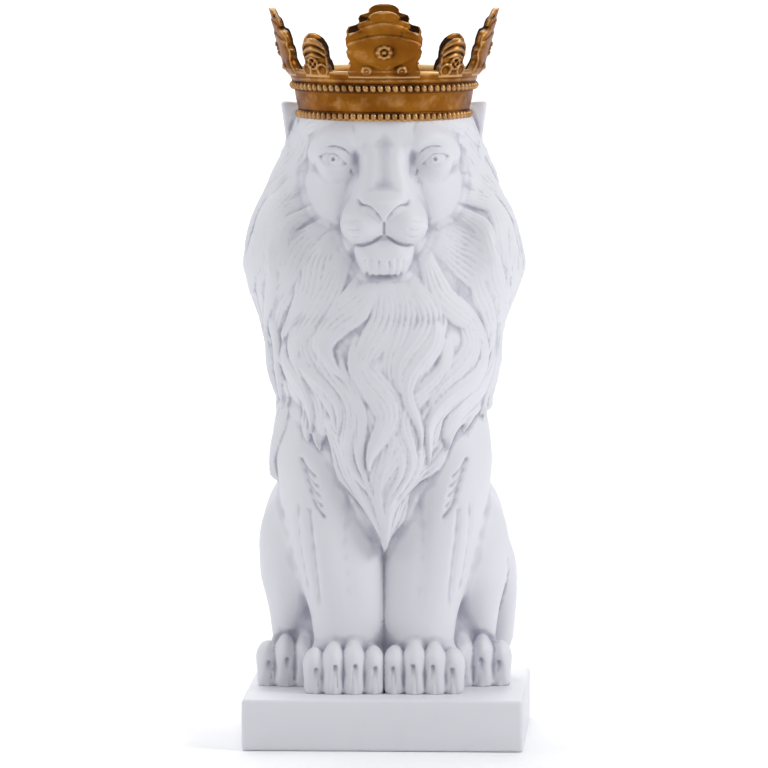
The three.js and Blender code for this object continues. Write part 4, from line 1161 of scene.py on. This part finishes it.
def bead_tree():
    """Geometry nodes: beads on a circle, each turned to it and slanted."""
    tree = bpy.data.node_groups.new("beads", "GeometryNodeTree")
    tree.interface.new_socket("Geometry", in_out="OUTPUT", socket_type="NodeSocketGeometry")
    for name, kind in (
        ("Count", "NodeSocketInt"),
        ("Circle Radius", "NodeSocketFloat"),
        ("Height", "NodeSocketFloat"),
        ("Bead Width", "NodeSocketFloat"),
        ("Bead Length", "NodeSocketFloat"),
        ("Slant", "NodeSocketFloat"),
    ):
        tree.interface.new_socket(name, in_out="INPUT", socket_type=kind)
    source = tree.nodes.new("NodeGroupInput")

    def given(name):
        return Wire(tree, source.outputs[name])

    def maths(operation, first, second):
        return node(tree, "ShaderNodeMath", {"operation": operation}, {0: first, 1: second})

    circle = node(
        tree, "GeometryNodeMeshCircle", {}, {"Vertices": given("Count"), "Radius": given("Circle Radius")}
    )
    bead = node(tree, "GeometryNodeMeshUVSphere", {}, {"Segments": 12, "Rings": 8, "Radius": 1.0})
    number = node(tree, "GeometryNodeInputIndex", {}, {})
    turn = maths("DIVIDE", maths("MULTIPLY", number, 2 * math.pi), given("Count"))
    facing = node(tree, "ShaderNodeCombineXYZ", {}, {"X": given("Slant"), "Y": 0.0, "Z": turn})
    size = node(
        tree,
        "ShaderNodeCombineXYZ",
        {},
        {"X": given("Bead Width"), "Y": given("Bead Width"), "Z": given("Bead Length")},
    )
    beads = node(
        tree,
        "GeometryNodeInstanceOnPoints",
        {},
        {"Points": circle, "Instance": bead, "Rotation": facing, "Scale": size},
    )
    lift = node(tree, "ShaderNodeCombineXYZ", {}, {"X": 0.0, "Y": 0.0, "Z": given("Height")})
    raised = node(tree, "GeometryNodeTransform", {}, {"Geometry": beads, "Translation": lift})
    real = node(tree, "GeometryNodeRealizeInstances", {}, {"Geometry": raised})
    smooth = node(tree, "GeometryNodeSetShadeSmooth", {}, {"Geometry": real})
    painted = node(tree, "GeometryNodeSetMaterial", {}, {"Geometry": smooth, "Material": GOLD})
    sink = tree.nodes.new("NodeGroupOutput")
    tree.links.new(painted.socket, sink.inputs["Geometry"])
    return tree


def make_cord(name, tree, **sizes):
    cord = piece(name, bpy.data.meshes.new(name), GOLD)
    beads = cord.modifiers.new("beads", "NODES")
    beads.node_group = tree
    for item in tree.interface.items_tree:
        if item.in_out == "INPUT":
            beads[item.identifier] = sizes[item.name.lower().replace(" ", "_")]
    applied(cord)
    count = len(cord.data.vertices)
    points = np.empty(3 * count)
    cord.data.vertices.foreach_get("co", points)
    cord.data.vertices.foreach_set("co", in_crown_place(points.reshape(-1, 3)).ravel())
    cord.data.update()
    mark_hollows(cord.data, 5, 0.8)
    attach(cord, "root")


def make_cords():
    tree = bead_tree()
    for name, height, slant in (("foot_cord", CORD_HEIGHTS[0], 0.12), ("band_cord", CORD_HEIGHTS[1], 0.4)):
        make_cord(
            name,
            tree,
            count=BEADS_IN_CORD,
            circle_radius=float(ring_outer(height) + 0.5),
            height=height,
            bead_width=BEAD_WIDTH,
            bead_length=0.9 * CORD_RADIUS,
            slant=slant,
        )


make_crown()
make_cords()


# Stage, light and camera


def plain_material(name, colour, roughness):
    material, _, shader = finish_of(name, Roughness=roughness)
    shader.inputs["Base Color"].default_value = colour
    return material


def make_floor():
    """A floor that curves up into a backdrop, far enough away to be looked past from behind."""
    half, depth, bend, top = 8.0, 4.2, 1.0, 3.0
    profile = [(-half, 0.0), (depth, 0.0)]
    for k in range(1, 13):
        turn = k / 12 * math.pi / 2
        profile.append((depth + bend * math.sin(turn), bend * (1 - math.cos(turn))))
    profile.append((depth + bend, top))
    points = np.array([(x, y, z) for y, z in profile for x in (-half, half)])
    faces = [(2 * i, 2 * i + 1, 2 * i + 3, 2 * i + 2) for i in range(len(profile) - 1)]
    paint = plain_material("floor_paint", (0.9, 0.9, 0.91, 1), 0.8)
    piece("floor", mesh_of("floor", points, faces), paint)


def make_light(name, place, size, power, target=(0, 0, 0.18)):
    lamp = bpy.data.lights.new(name, "AREA")
    lamp.size = size
    lamp.energy = power
    made = bpy.data.objects.new(name, lamp)
    bpy.context.collection.objects.link(made)
    made.location = place
    aim = Vector(target) - Vector(place)
    made.rotation_euler = aim.to_track_quat("-Z", "Y").to_euler()


def make_camera():
    azimuth, pitch, distance = math.radians(2.55), math.radians(4.8), 3.5
    target = Vector((-0.002, 0, 0.1648))
    back = Vector(
        (math.sin(azimuth) * math.cos(pitch), -math.cos(azimuth) * math.cos(pitch), math.sin(pitch))
    )
    lens = bpy.data.cameras.new("camera")
    lens.sensor_width = 36
    lens.lens = 350.6
    lens.clip_end = 50
    camera = bpy.data.objects.new("camera", lens)
    bpy.context.collection.objects.link(camera)
    camera.location = target + back * distance
    camera.rotation_euler = (-back).to_track_quat("-Z", "Y").to_euler()
    bpy.context.scene.camera = camera


make_floor()
make_light("right", (1.5, -0.6, 1.1), 0.8, 15)
make_light("left", (-1.5, -0.4, 0.9), 0.9, 7)
make_light("front", (-0.2, -1.9, 1.2), 1.4, 3)
make_light("back", (-0.9, 1.1, 1.8), 1.2, 6)
make_light("backdrop", (0, 0.9, 2.6), 2.5, 40, (0, 2.6, 0.18))
make_light("far_floor", (0, 4.0, 3.0), 3.0, 90, (0, 4.0, 0))
make_camera()

world = bpy.data.worlds.new("studio")
world.use_nodes = True
world.node_tree.nodes["Background"].inputs["Color"].default_value = (0.95, 0.96, 1.0, 1)
world.node_tree.nodes["Background"].inputs["Strength"].default_value = 0.36
bpy.context.scene.world = world
bpy.context.scene.view_settings.view_transform = "Standard"
